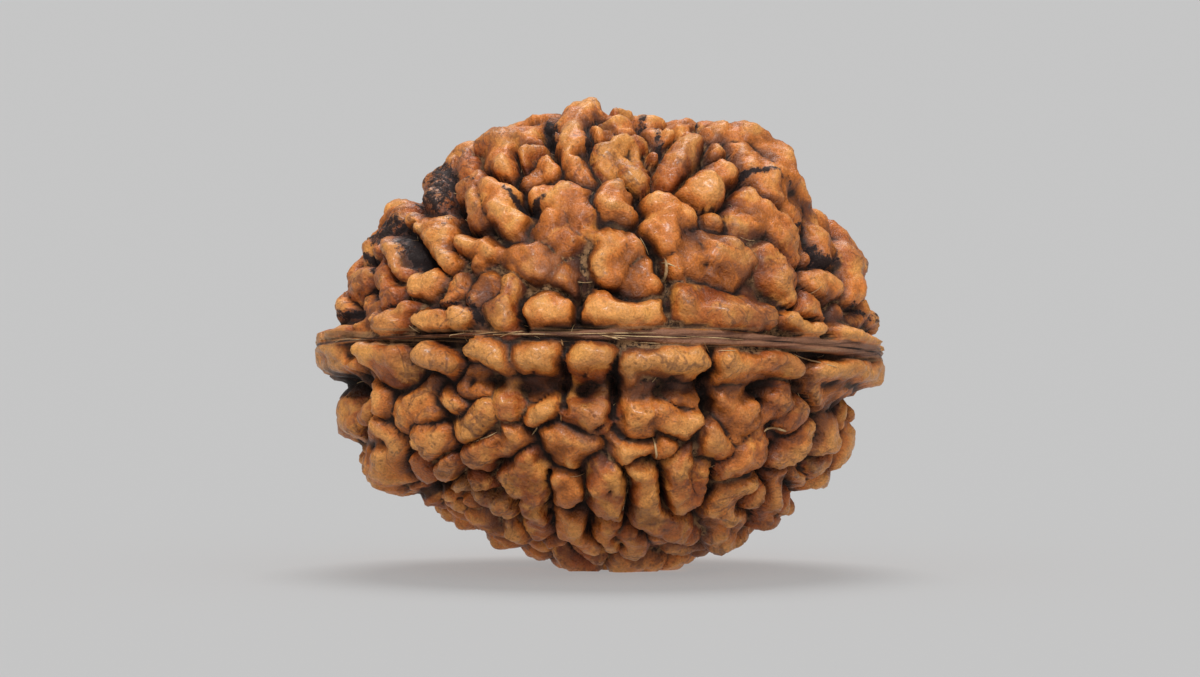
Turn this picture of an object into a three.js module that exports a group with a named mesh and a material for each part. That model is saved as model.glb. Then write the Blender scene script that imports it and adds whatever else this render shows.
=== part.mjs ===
// A two-faced rudraksha seed lying on its lower face. It is one hard stone, covered in plump knobs
// like short worms, with a raised seam that runs from tip to tip round the middle.
import * as THREE from "three";
import { mergeVertices } from "three/addons/utils/BufferGeometryUtils.js";

// Driving dimensions in millimetres. X runs from tip to tip, the front faces -Y and Z is up.
const restHeight = 8.65; // from the flat it rests on up to the centre, which is in the seam's plane
const halfDepth = 9.8;
const outline = [ // the front view's radius every 15 degrees, from the right tip over the top
  10.85, 11.3, 10.8, 10.75, 10.6, 9.8, 10.1, 9.8, 10.05, 9.9, 10.5, 10.6,
  10.7, 10.9, 10.5, 9.15, 8.8, 8.6, 8.95, 9.25, 9.45, 9.9, 10.7, 10.75,
];
const grooveDepth = 0.9; // how far the grooves' floor lies inside the outline
const viewTilt = 3; // degrees that the view of the tables below looks down by
const squaresPerSide = 30; // the surface is a cube's six faces blown out to a ball
const softening = 0.4; // the surface is evened out over this share of a square

// The seam's plane, and the shelf that carries it
const seam = {
  slopeBack: 0.128, // fall towards the back, per millimetre
  slopeRight: 0.017,
  lift: 0.55, // rise of the shelf over the grooves' floor
  tipLift: 0.55, // further rise at the two tips
  tipNarrow: 0.4, // how much narrower the shelf is there, as a share
  tipDrop: 0.3, // how far below the seam the shelf's middle lies there
  shelf: 0.9, // half width of the shelf's flat
  tipStart: 0.75, // where the tips begin, as a share of the half length
  foot: 1.75, // half width where the shelf has run out
  ridge: 0.45, // height of the seam's own ridge
  crack: 0.1, // depth of the fine crack along it
  crackWidth: 0.05,
  halfWidth: 0.08,
  wider: 0.18, // added to the half width on the right of the front
  widerFrom: -3, // where along X that begins
  widerTo: 3,
  rim: 0.06, // rounding of the ridge's edges
};

// How a knob swells up from its chain of balls
const knob = {
  seenAbove: 0.6, // the knobs' tops, as seen, lie this far over the grooves' floor
  gap: 0.02, // half width of the bare floor between two knobs
  shoulder: 0.88, // width of the rounded side, in radii
  spread: 2.1, // reach of a lone knob from its middle line, in radii
  farthest: 2.2, // how far from a knob its form still counts
  rise: 1.4, // height for a radius of one millimetre
  power: 0.7, // how the height grows with the radius
  joint: 0.58, // how far two knobs part where they meet, as a share of their height
  leastJoint: 0.12,
  uneven: 0.36, // how much the parting varies from place to place
  crease: 0.14, // the same between two chains of one knob
  crack: 0.26, // extra depth of the fine crack where they part fully
  crackWidth: 0.07,
  blend: 0.16, // millimetres over which the heights of neighbours run together
};

// Knobs as they show from the front. Each knob is one or more chains of balls, each ball being
// [x, z, radius] or [x, z, radius, lift]; chains of one knob run together with a shallow crease.
const upperKnobs = [
  [[[-3.9, 7.4, 0.5], [-4.1, 8.3, 0.75], [-2.8, 8.65, 0.6]]],
  [
    [[-5.1, 8.5, 0.35], [-5.15, 7.6, 0.4]], [[-5.2, 6.8, 0.45], [-4.95, 6.1, 0.5], [-4.75, 5.3, 0.4]],
    [[-4.4, 6.7, 0.55], [-3.7, 5.8, 0.6], [-3.2, 5.2, 0.5]],
  ],
  [[[-2.9, 9.1, 0.4, -0.1], [-2, 9.25, 0.35, -0.1]]],
  [[[0, 9.7, 0.45], [-0.8, 9.6, 0.7], [-1.05, 8.6, 0.55], [-0.95, 7.7, 0.45], [-0.5, 7.1, 0.42]]],
  [[[-1.95, 7.8, 0.4, -0.2], [-1.7, 7.35, 0.4]], [[-2.6, 7.25, 0.4, -0.3]]],
  [
    [[-2.1, 6.3, 0.45, -0.1], [-1.1, 6.2, 0.65], [-0.6, 5.4, 0.6], [-0.4, 4.85, 0.45]],
    [[-1.65, 4.9, 0.65], [-1.25, 4.35, 0.55]],
  ],
  [[[0.9, 6.5, 0.6], [0.8, 5.7, 0.75]]],
  [
    [[0.45, 7.4, 0.35], [0.6, 8.2, 0.5], [1.4, 8.4, 0.4], [1.95, 7.7, 0.3]],
    [[1.3, 7.5, 0.4], [1.7, 6.8, 0.5]],
  ],
  [[[0.8, 9.3, 0.45], [1.2, 9, 0.4]], [[2.15, 9.25, 0.5]]],
  [[[3.3, 8.9, 0.55], [3.5, 8.1, 0.65], [3.2, 7.3, 0.6], [2.8, 6.85, 0.42]]],
  [
    [[4.6, 8.8, 0.6], [5.7, 8.5, 0.95], [6.8, 7.8, 1.15, -0.05], [7.35, 6.8, 1],
     [7.65, 5.8, 0.7, 0.05], [7.95, 5.1, 0.4]], [[5.6, 7.9, 0.65], [6.4, 7.1, 0.75], [6.95, 6.3, 0.6]],
  ],
  [[[4.75, 8.1, 0.45], [5.1, 8.05, 0.36]]], [[[4.9, 7.15, 0.5], [4.4, 6.7, 0.82], [3.95, 6.35, 0.6]]],
  [
    [[5.9, 6.1, 0.55], [6.4, 5.5, 0.8], [7.2, 4.6, 0.7], [7.75, 3.9, 0.4]],
    [[5.6, 5.3, 0.5], [6.2, 4.8, 0.55]],
  ],
  [[[8.25, 4.4, 0.2], [8.6, 3.8, 0.18]]],
  [
    [[8.5, 5.4, 0.45], [8.85, 4.8, 0.58], [9.05, 4.2, 0.42]],
    [[9.6, 4.9, 0.5], [10.1, 4.2, 0.7], [10.2, 3.2, 0.7], [10.1, 2.3, 0.6]],
  ],
  [[[8.8, 2.8, 0.5], [9.3, 2.7, 0.45]]], [[[6.6, 3.45, 0.65], [7.1, 2.95, 0.85], [7.45, 2.4, 0.55]]],
  [[[8, 2, 0.42], [8.8, 1.85, 0.4]]],
  [
    [[2.5, 5.85, 0.55], [3.4, 5.4, 0.6], [2.6, 4.9, 0.65]],
    [[3.5, 4.3, 0.35], [3.5, 3.5, 0.6], [4, 3.1, 0.4]],
    [[4.7, 4, 0.7], [5.25, 3.6, 0.72], [4.85, 3, 0.55]],
  ],
  [[[4.7, 5.3, 0.3]]],
  [
    [[0.6, 4.2, 0.7], [0.6, 3.4, 0.65], [1.2, 4.2, 0.5]],
    [[2, 3.4, 0.42], [1.6, 2.75, 0.45], [2.2, 2.8, 0.4]],
  ],
  [[[-3.3, 3.85, 0.5], [-2.6, 3.7, 0.6], [-1.9, 3.35, 0.6]], [[-1.3, 3, 0.55], [-0.75, 2.65, 0.35]]],
  [[[-4.9, 4.3, 0.55], [-4.5, 3.9, 0.6], [-4.7, 3.65, 0.5]]],
  [[[-5.6, 2.6, 0.42], [-5.9, 2.3, 0.38]], [[-4.4, 2.75, 0.38], [-4.65, 2.3, 0.38], [-4.1, 2.35, 0.3]]],
  [[[-3.35, 2.55, 0.38], [-3.5, 2, 0.32], [-3.8, 1.35, 0.45]]],
  [[[-1.85, 2.1, 0.42], [-2.2, 1.45, 0.48], [-1.35, 1.45, 0.48]]],
  [[[0.1, 2.1, 0.45], [0.2, 1.45, 0.55], [1.3, 1.45, 0.6], [2.1, 1.5, 0.5]]],
  [
    [[3.6, 1.8, 0.6], [4.7, 1.5, 0.65], [5.7, 1.6, 0.65], [6.5, 1.4, 0.45]],
    [[5.7, 1.6, 0.6], [5.85, 2.35, 0.38]],
  ],
  [[[7.6, 1.1, 0.42], [8.3, 1, 0.5]]],
  [
    [[9.4, 0.8, 0.45], [10.2, 0.6, 0.4], [11, 0.4, 0.3]],
    [[9.6, 1.45, 0.35], [10.5, 1.4, 0.5, 0.25], [11.1, 1.15, 0.38, 0.4]],
  ],
  [[[-6.5, 1.1, 0.38], [-6, 1.2, 0.33]], [[-5.4, 1.3, 0.45]]],
  [[[-8.2, 1.05, 0.48], [-7.75, 1.25, 0.42]], [[-7.4, 1.9, 0.27]]],
  [[[-9.8, 0.8, 0.3], [-10.5, 0.8, 0.27], [-11.2, 0.65, 0.2]]],
  [[[-9.5, 1.7, 0.28], [-8.8, 1.65, 0.28]]], [[[-7.1, 2.8, 0.55], [-6.75, 2.9, 0.48]]],
  [[[-7.5, 5.55, 0.33], [-6.9, 5.35, 0.4], [-6.45, 4.8, 0.48], [-6.3, 4.1, 0.4], [-6.15, 3.65, 0.38]]],
  [[[-5.75, 7.6, 0.45], [-6.4, 7, 0.48], [-6.65, 6.25, 0.35]]],
  [[[-8.1, 5.65, 0.42, -0.15], [-8.8, 4.9, 0.5, -0.3], [-9, 4.25, 0.38, -0.15]]],
  [[[-8.85, 3.55, 0.36], [-8.6, 2.9, 0.42], [-8.25, 2.2, 0.48]]],
  [[[-9.7, 3.5, 0.45], [-9.5, 2.8, 0.5], [-9.8, 2.3, 0.3]]], [[[-10.3, 1.4, 0.33]]],
];
const lowerKnobs = [
  [
    [[-11.2, 0.1, 0.2], [-10.4, -0.05, 0.33], [-9.8, 0, 0.3]],
    [[-10.4, -0.7, 0.33], [-9.4, -0.8, 0.28]],
  ],
  [[[-8.8, 0, 0.4], [-7.9, 0, 0.42]], [[-8.5, -0.8, 0.3], [-7.6, -0.8, 0.25, -0.1]]],
  [[[-6.45, 0.1, 0.4], [-5.95, -0.4, 0.4]]], [[[-4.75, 0.15, 0.38], [-3.95, -0.15, 0.48]]],
  [[[-2.8, 0.15, 0.4], [-2, 0, 0.42], [-2, -0.5, 0.3]]],
  [[[-0.55, -0.1, 0.5], [0.05, -0.1, 0.48], [0, -0.85, 0.22]]],
  [[[1.5, -0.95, 0.35], [1.5, -0.4, 0.45], [2.5, -0.35, 0.42], [3.5, -0.4, 0.48], [3.6, -0.9, 0.35]]],
  [[[5.2, -0.95, 0.42], [5.2, -0.45, 0.48], [6.4, -0.45, 0.45], [7.35, -0.5, 0.45]]],
  [
    [[8.8, -0.6, 0.38], [9.6, -0.6, 0.38], [10.6, -0.6, 0.33], [11.2, -0.45, 0.22]],
    [[8.9, -1.45, 0.45], [9.6, -1.7, 0.52], [10.4, -1.35, 0.38]],
  ],
  [[[10.25, -2.25, 0.33, 0.15]]], [[[-10.1, -1.8, 0.48], [-9.95, -2.8, 0.62]]],
  [[[-8.8, -1.7, 0.55], [-8.7, -2.1, 0.42]]],
  [
    [[-6.7, -1.45, 0.33], [-7.35, -2, 0.42], [-7.9, -2.6, 0.4]],
    [[-7.25, -2.4, 0.33], [-6.85, -2.3, 0.28]],
  ],
  [[[-6.25, -1.75, 0.33], [-5.9, -2, 0.33]]], [[[-5.2, -1.25, 0.42, -0.4], [-4.6, -1.45, 0.42, -0.3]]],
  [
    [[-3.4, -1.55, 0.4, -0.15], [-3.55, -2.3, 0.48]],
    [[-5.4, -3.15, 0.38], [-4.9, -2.8, 0.45], [-4.4, -2.55, 0.4]],
  ],
  [[[-2.45, -2.5, 0.4], [-1.95, -2.35, 0.4]]], [[[-2.4, -1.4, 0.4, -0.5]]],
  [[[-0.9, -2.5, 0.45], [-0.2, -2.5, 0.6], [0.3, -2.05, 0.4, -0.1]], [[-0.7, -1.3, 0.3, -0.4]]],
  [
    [[1.9, -1.7, 0.48], [1.9, -2.5, 0.5], [1.8, -3.05, 0.42]],
    [[2.7, -2.45, 0.4], [3.2, -3, 0.5], [3.85, -2.9, 0.38]],
  ],
  [[[3.5, -1.85, 0.48, -0.35], [4, -2, 0.38, -0.35]]],
  [[[5.5, -1.75, 0.48], [5.75, -2.4, 0.48]], [[5.6, -3.1, 0.42], [6.15, -3, 0.38]]],
  [[[7.3, -1.8, 0.62]], [[8.3, -2.25, 0.42], [7.95, -2.6, 0.38]], [[6.75, -2.6, 0.33]]],
  [[[4.6, -3.7, 0.48], [5, -3.7, 0.42]]], [[[6.5, -3.6, 0.42], [6, -4.15, 0.58], [5.45, -4.65, 0.48]]],
  [[[8.4, -3.35, 0.42], [8.1, -3.8, 0.48], [7.65, -4.35, 0.42]]],
  [[[9.5, -2.75, 0.42], [9.4, -3.5, 0.48]]], [[[9.2, -4.5, 0.38], [8.95, -4.85, 0.33]]],
  [[[8, -5.3, 0.22], [8.6, -5.35, 0.25]]],
  [[[7.3, -5.25, 0.38], [7.1, -5.9, 0.5, 0.15], [6.6, -6.7, 0.48, 0.45]]],
  [
    [[5.55, -5.45, 0.55], [5.2, -6.2, 0.58], [5.55, -6.9, 0.42]],
    [[4.7, -7, 0.35, 0.1], [5.1, -7.45, 0.36, 0.3], [5.7, -7.3, 0.38, 0.3]],
  ],
  [
    [[3.4, -4.45, 0.45], [3.15, -5.2, 0.48], [3.2, -5.9, 0.5], [3.75, -5.9, 0.42]],
    [[4.4, -4.65, 0.28], [4.15, -5.4, 0.35]],
  ],
  [
    [[1.6, -4.65, 0.5], [2, -5.1, 0.5], [1.9, -5.8, 0.48], [2.2, -6.6, 0.5], [3, -7.15, 0.55],
     [3.65, -7.4, 0.45]],
  ],
  [[[0.9, -4, 0.48], [1.7, -3.9, 0.42]], [[2.6, -3.8, 0.33]]],
  [[[0.4, -4.75, 0.48], [0.3, -5.5, 0.58], [0.4, -6.2, 0.52]]],
  [[[-1.5, -5.15, 0.42], [-1.3, -5.7, 0.52], [-1.5, -6.3, 0.28]]],
  [[[-1.1, -6.85, 0.38], [-0.8, -7.4, 0.48], [-0.45, -7.85, 0.35]]],
  [
    [[-2.5, -5.5, 0.38], [-2.4, -6.5, 0.38], [-2.35, -7.35, 0.33]],
    [[-2.8, -4.2, 0.38], [-2.6, -4.7, 0.45], [-3.1, -5.4, 0.48]],
  ],
  [[[-3.35, -3.3, 0.38], [-3.6, -3.8, 0.42]], [[-4.5, -3.75, 0.38], [-4.7, -4.3, 0.48]]],
  [[[-1.9, -3.4, 0.38], [-1.2, -3.5, 0.42], [-0.6, -3.7, 0.42], [-1.1, -4.1, 0.38]]],
  [
    [[-3.8, -6.25, 0.42], [-3.6, -6.5, 0.28]], [[-4.6, -5.9, 0.45, -0.3]],
    [[-5.7, -5.35, 0.38], [-5.7, -6.3, 0.38]],
  ],
  [[[-4.9, -6.6, 0.38], [-4.4, -7.1, 0.38], [-3.95, -7.25, 0.33]]],
  [[[-6, -4.5, 0.45], [-6.15, -5.1, 0.38]]],
  [[[-8.7, -3.3, 0.55], [-8.7, -4.3, 0.8, -0.1], [-8.55, -5.1, 0.7, -0.05], [-7.95, -5.55, 0.45, 0.2]]],
  [[[-7.3, -4.6, 0.3], [-7.05, -5.2, 0.28]]],
  [[[-7, -3.4, 0.48], [-6.4, -3.65, 0.45], [-6.7, -4.1, 0.4]]],
  [[[-3.2, -7.6, 0.38, -0.1], [-2.4, -7.85, 0.3]], [[-1.7, -7.7, 0.38]]],
  [[[0.4, -7.2, 0.33], [0.45, -7.85, 0.3]], [[1.5, -7.6, 0.42], [1.25, -8.1, 0.38]]],
  [[[2.5, -7.7, 0.33, -0.15]]], [[[3.3, -8.15, 0.25], [4.1, -8, 0.25]]],
];

// The lowest knobs, which the seed rests on, from below: chains of [x, y, radius]
const footKnobs = [
  [[-0.9, -0.2, 0.75], [0.2, 0.35, 0.95], [1.3, 0.1, 0.85]],
  [[0.7, -1.9, 0.6], [1.7, -1.7, 0.6]],
  [[-0.5, 2.1, 0.65], [0.5, 2.3, 0.65]],
  [[-1.1, -1.7, 0.64], [-0.4, -1.8, 0.6]],
];

// Pits and dips between the knobs: [x, z, radius, depth]
const hollows = [
  [-2.7, 5.85, 0.4, 0.5], [-1.9, 8.8, 0.3, 0.6], [-5.8, 6.2, 0.35, 0.7], [-5.7, 5.4, 0.3, 0.5],
  [-8, 5, 0.45, 0.55], [-8.1, 4.3, 0.45, 0.5], [-7.4, 4.1, 0.6, 0.65], [-7, 3.5, 0.4, 0.5],
  [1.25, 6.65, 0.16, 0.4], [5.3, 6.45, 0.22, 0.5], [8.4, 3.5, 0.3, 0.3], [-3.9, -4.6, 0.2, 0.6],
  [-0.4, -1.65, 0.22, 0.5], [6.45, -2.1, 0.14, 0.5], [0.3, -5.4, 0.12, 0.35], [8.2, -4.8, 0.3, 0.5],
  [2.2, 7.7, 0.3, 0.4], [-1.2, -0.7, 0.3, 0.5], [4.3, -1, 0.25, 0.6], [0.8, -1.1, 0.3, 0.5],
  [-3.1, -6.5, 0.2, 0.6], [-1.9, -6.5, 0.2, 0.5], [-0.5, 7.9, 0.22, 0.5], [-0.2, 8.5, 0.25, 0.4],
];

// Deep slots: width, depth, then [x, z] along each
const clefts = [
  [0.15, 0.6, [2.85, 1], [2.9, 2.7], [2.3, 3.9], [1.5, 4.8]], [0.13, 0.7, [-3, 1], [-2.9, 2.1]],
  [0.13, 0.7, [-0.7, 1.1], [-0.6, 2.1], [-0.5, 2.7]],
  [0.16, 0.8, [0.85, -0.1], [0.9, -1.5], [0.6, -2.8], [0.2, -3.1]],
  [0.16, 0.8, [4.35, -0.2], [4.5, -1.3], [4.6, -2.7]],
  [0.15, 0.7, [-1.35, 0.1], [-1.2, -0.8], [-1.25, -2.3]],
  [0.13, 0.6, [8.1, -0.4], [8.1, -1.1], [8.9, -2.2]], [0.13, 0.6, [-5.3, 0.1], [-5, -0.9]],
  [0.13, 0.6, [-1.95, -4.8], [-1.95, -6.8]], [0.13, 0.6, [-3.1, -5.9], [-3.05, -6.6], [-3.4, -7]],
  [0.13, 0.6, [-0.5, -4.9], [-0.4, -5.8], [-0.9, -6.4]],
  [0.13, 0.6, [1.1, -5.1], [1.2, -5.9], [1, -6.4]], [0.13, 0.6, [2.6, -4.7], [2.55, -5.8], [2.7, -6.2]],
  [0.13, 0.6, [4.8, -4.7], [4.5, -5.7], [4.3, -6.4]],
  [0.15, 0.6, [7.1, -3.9], [6.8, -4.7], [6.6, -5.1]], [0.12, 0.5, [1.7, -7.1], [2, -7.5]],
  [0.12, 0.5, [0.8, -7.5], [0.75, -8.4]], [0.12, 0.5, [-6.5, -4.8], [-6.4, -5.4]],
  [0.12, 0.5, [9, -2.7], [8.6, -3.6]],
  [0.34, 0.42, [-5, -1.25], [-2.5, -1.35], [0, -1.6], [2.6, -1.65], [4.3, -1.6], [6, -1.55],
   [8.1, -1.4]], [0.4, 0.5, [-7.7, 5.1], [-7.7, 4.5], [-7.2, 3.8], [-6.9, 3.4]],
  [0.22, 0.7, [-5.95, 6.7], [-5.8, 5.8], [-5.6, 4.8]],
  [0.16, 0.6, [-1.95, 9.1], [-1.85, 8.3], [-1.5, 7.7]],
  [0.12, 0.4, [-2.7, 6.7], [-2.75, 5.7], [-2.4, 5.1]],
];

// Notches in the outline, which run on round to the back: [x, z, width, depth]
const notches = [
  [-10.7, -1.15, 0.8, 0.55], [-10.35, -1.45, 0.4, 0.35], [-9.47, -3.7, 0.4, 0.6],
  [-7, -5.65, 0.5, 0.65], [8.25, -5.6, 0.5, 0.5], [10.45, -1.95, 0.35, 0.35], [-9.5, 4, 0.35, 0.3],
  [-7.3, 6.25, 0.4, 0.35], [0.35, 9.55, 0.3, 0.4], [8.15, 6.5, 0.3, 0.3], [10.73, 1.9, 0.3, 0.2],
];
const notchTurns = [-0.45, -0.2, 0, 0.2, 0.45]; // radians from the rim along each of them

// The sides that the view hides follow a rule: a row of teeth on each side of the seam, then knobs
// scattered evenly over what is still bare.
const hidden = {
  seed: 7,
  tries: 420,
  radius: 0.36,
  moreRadius: 0.26,
  reach: 1.5, // longest chain
  step: 0.6, // between the balls of a chain
  bend: 1.6, // radians that a chain can turn by at each ball
  links: 3, // most balls that a chain goes on for
  linkReach: 0.5, // how much reach each of them takes
  thinnest: 0.85, // a further ball's radius, as a share of the first one's
  thicker: 0.25,
  clearance: 0.88, // closest spacing, as a share of the two radii
  seamGap: 0.3,
  jitter: 0.1,
};
const toothRow = {
  start: 0.02, // radians from the tips
  radius: 0.42,
  moreRadius: 0.12,
  offset: 0.28, // from the seam to a tooth's foot
  rise: 0.2,
  moreRise: 0.5,
  sway: 0.7,
  gap: 0.25,
  taper: 0.8,
  tipSize: 0.5, // size of the teeth at the tips, as a share
  tipPower: 8, // how quickly the teeth shrink towards the tips
};

// Unevenness of the whole surface
const wanders = [
  { size: 0.13, slow: 1.9, fast: 2.3, phase: 0.4 },
  { size: 0.13, slow: 2.2, fast: 1.7, phase: 2.1 },
  { size: 0.13, slow: 1.6, fast: 2.6, phase: 4.0 },
];
const ripple = { bend: 1.7, turn: 0.6, share: 0.6, quick: 1.9, curl: 1.3 };
const swell = 0.07; // rise and fall of the knobs' heights, as a share
const swellWaves = [[3.1, 1.9, 2.3], [3.4, 1.7, 2.6], [2.9, 1.8, 2.8]]; // pitch, bend, the bend's pitch
const jointWaves = [[0.9, 1.4, 0.7], [1.1, 1.3, 0.8], [1, 1, 0.9]];

const tau = 2 * Math.PI;
const tiny = 1e-9;

// A small repeatable random source, between 0 and 1
const drawRule = { factor: 1664525, step: 1013904223, range: 2 ** 32 };
let drawState = hidden.seed;
function draw() {
  drawState = (drawState * drawRule.factor + drawRule.step) % drawRule.range;
  return drawState / drawRule.range;
}

function smooth(from, to, value) {
  return THREE.MathUtils.smoothstep(value, from, to);
}

// A quarter circle's rise, from 0 at 0 to 1 at 1
function dome(t) {
  const rest = 1 - THREE.MathUtils.clamp(t, 0, 1);
  return Math.sqrt(1 - rest * rest);
}

// The outline's radius at an angle, on a smooth closed curve through the listed radii
function outlineRadius(angle) {
  const count = outline.length;
  const place = (((angle / tau) * count) % count + count) % count;
  const i = Math.floor(place);
  const f = place - i;
  const [a, b, c, d] = [-1, 0, 1, 2].map((k) => outline[(i + k + count) % count]);
  return b + 0.5 * f * (c - a + f * (2 * a - 5 * b + 4 * c - d + f * (3 * (b - c) + d - a)));
}

// Distance from the centre to the grooves' floor, in a direction
function floorRadius(direction) {
  const across = outlineRadius(Math.atan2(direction.z, direction.x)) - grooveDepth;
  const flat = Math.hypot(direction.x, direction.z) / across;
  return 1 / Math.hypot(flat, direction.y / (halfDepth - grooveDepth));
}

function onFloor(point) {
  const direction = point.clone().normalize();
  return direction.multiplyScalar(floorRadius(direction));
}

// Signed distance to the seam's plane, positive above it
function seamDistance(point) {
  const fall = point.z + seam.slopeBack * point.y + seam.slopeRight * point.x;
  return fall / Math.hypot(1, seam.slopeBack, seam.slopeRight);
}

// Two directions at right angles to a given one and to each other
function crossways(up) {
  const steep = Math.abs(up.z) > 0.9;
  const aside = steep ? new THREE.Vector3(1, 0, 0) : new THREE.Vector3(0, 0, 1);
  const east = up.clone().cross(aside).normalize();
  return [east, up.clone().cross(east)];
}

// The place on the floor under what shows at x, z in the view
function placeSeen(x, z) {
  const halvings = 30;
  const tilt = THREE.MathUtils.degToRad(viewTilt);
  const along = (y) => new THREE.Vector3(x, y, (z - y * Math.sin(tilt)) / Math.cos(tilt));
  const outside = (y) => {
    const point = along(y);
    return point.length() > floorRadius(point.clone().normalize()) + knob.seenAbove;
  };
  let near = -1.2 * halfDepth;
  let far = 0;
  if (!outside(far)) {
    for (let i = 0; i < halvings; i++) {
      const middle = (near + far) / 2;
      if (outside(middle)) near = middle;
      else far = middle;
    }
  }
  return onFloor(along(far));
}

function seenKnobs() {
  const ball = ([x, z, radius, lift = 0]) => ({ at: placeSeen(x, z), radius, lift });
  return [...upperKnobs, ...lowerKnobs].map((chains) => chains.map((chain) => chain.map(ball)));
}

// Adds knobs to the list where the view shows none
function growHidden(knobs) {
  const placed = knobs.flat(2);
  const isClear = (ball) =>
    placed.every((o) => ball.at.distanceTo(o.at) > hidden.clearance * (ball.radius + o.radius));
  const add = (chain) => {
    knobs.push([chain]);
    placed.push(...chain);
  };

  const footBall = ([x, y, radius]) =>
    ({ at: onFloor(new THREE.Vector3(x, y, -restHeight)), radius, lift: 0 });
  for (const chain of footKnobs) add(chain.map(footBall));

  for (const side of [1, -1]) {
    let angle = toothRow.start;
    while (angle < Math.PI - toothRow.start) {
      const nearTip = Math.abs(Math.cos(angle)) ** toothRow.tipPower;
      const size = 1 - (1 - toothRow.tipSize) * nearTip;
      const radius = (toothRow.radius + toothRow.moreRadius * draw()) * size;
      const foot = onFloor(new THREE.Vector3(Math.cos(angle), Math.sin(angle), 0));
      foot.z = -seam.slopeBack * foot.y - seam.slopeRight * foot.x;
      foot.z += side * (radius + toothRow.offset * size);
      const head = foot.clone();
      head.z += side * (toothRow.rise + toothRow.moreRise * draw()) * size;
      const sway = (draw() - 0.5) * toothRow.sway;
      head.x -= Math.sin(angle) * sway;
      head.y += Math.cos(angle) * sway;
      const step = (2 * radius + toothRow.gap * draw()) / halfDepth;
      const chain = [
        { at: onFloor(foot), radius, lift: 0 },
        { at: onFloor(head), radius: radius * toothRow.taper, lift: 0 },
      ];
      if (chain.every(isClear)) add(chain);
      angle += step;
    }
  }

  const goldenAngle = Math.PI * (3 - Math.sqrt(5));
  for (let i = 0; i < hidden.tries; i++) {
    const y = 1 - (2 * (i + 0.5)) / hidden.tries;
    const ring = Math.sqrt(1 - y * y);
    const turned = i * goldenAngle;
    const start = new THREE.Vector3(Math.cos(turned) * ring, y, Math.sin(turned) * ring);
    start.x += (draw() - 0.5) * hidden.jitter;
    start.y += (draw() - 0.5) * hidden.jitter;
    start.z += (draw() - 0.5) * hidden.jitter;
    const radius = hidden.radius + hidden.moreRadius * draw();
    const turn = draw() * Math.PI;
    const reach = hidden.reach * draw();
    const bend = (draw() - 0.5) * hidden.bend;
    const isFree = (ball) =>
      Math.abs(seamDistance(ball.at)) >= ball.radius + hidden.seamGap && isClear(ball);
    let here = onFloor(start);
    const first = { at: here, radius, lift: 0 };
    if (!isFree(first)) continue;
    const [east, north] = crossways(here.clone().normalize());
    const chain = [first];
    const links = Math.min(Math.floor(reach / hidden.linkReach), hidden.links);
    for (let k = 0; k < links; k++) {
      const angle = turn + bend * k;
      const move = east.clone().multiplyScalar(Math.cos(angle)).addScaledVector(north, Math.sin(angle));
      here = onFloor(here.clone().addScaledVector(move, hidden.step));
      const share = hidden.thinnest + hidden.thicker * draw();
      const next = { at: here, radius: radius * share, lift: 0 };
      if (!isFree(next)) break;
      chain.push(next);
    }
    add(chain);
  }
  return knobs;
}

// The nearest point of a chain of balls: how far outside its surface, and its radius and lift there
function chainNear(point, chain) {
  let near = { outside: Infinity, radius: 0, lift: 0 };
  const ends = chain.length > 1 ? chain.slice(1) : chain;
  ends.forEach((b, i) => {
    const a = chain[i];
    const span = b.at.clone().sub(a.at);
    const t = THREE.MathUtils.clamp(
      point.clone().sub(a.at).dot(span) / Math.max(span.lengthSq(), tiny), 0, 1);
    const radius = THREE.MathUtils.lerp(a.radius, b.radius, t);
    const outside = point.distanceTo(a.at.clone().addScaledVector(span, t)) - radius;
    if (outside < near.outside) near = { outside, radius, lift: THREE.MathUtils.lerp(a.lift, b.lift, t) };
  });
  return near;
}

// A smooth wander of the floor, so that no knob is quite regular
function wander({ x, y, z }) {
  const shift = ({ size, slow, fast, phase }, v, w) => {
    const wide = Math.sin(slow * v + ripple.bend * Math.sin(ripple.turn * fast * w + phase));
    const narrow = Math.sin(ripple.quick * fast * w + ripple.curl * Math.sin(slow * v + phase));
    return size * (wide + ripple.share * narrow);
  };
  return new THREE.Vector3(
    x + shift(wanders[0], y, z), y + shift(wanders[1], z, x), z + shift(wanders[2], x, y));
}

// The sum of three bent waves across the surface
function waves({ x, y, z }, rows) {
  const ways = [[x, z], [z, y], [y, x]];
  const wave = ([pitch, bend, turn], i) =>
    Math.sin(pitch * ways[i][0] + bend * Math.sin(turn * ways[i][1]));
  return rows.reduce((sum, row, i) => sum + wave(row, i), 0);
}

// How far knobs part where they meet, from place to place
function parting(point) {
  const joint = knob.joint * (1 + knob.uneven * waves(point, jointWaves));
  return THREE.MathUtils.clamp(joint, knob.leastJoint, 1);
}

// The shelf that carries the seam
function shelfHeight(direction, fromSeam) {
  const atTip = smooth(seam.tipStart, 1, Math.abs(direction.x));
  const narrow = 1 - seam.tipNarrow * atTip;
  const away = Math.abs(fromSeam + seam.tipDrop * atTip);
  return (seam.lift + seam.tipLift * atTip) * (1 - smooth(seam.shelf * narrow, seam.foot * narrow, away));
}

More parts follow.
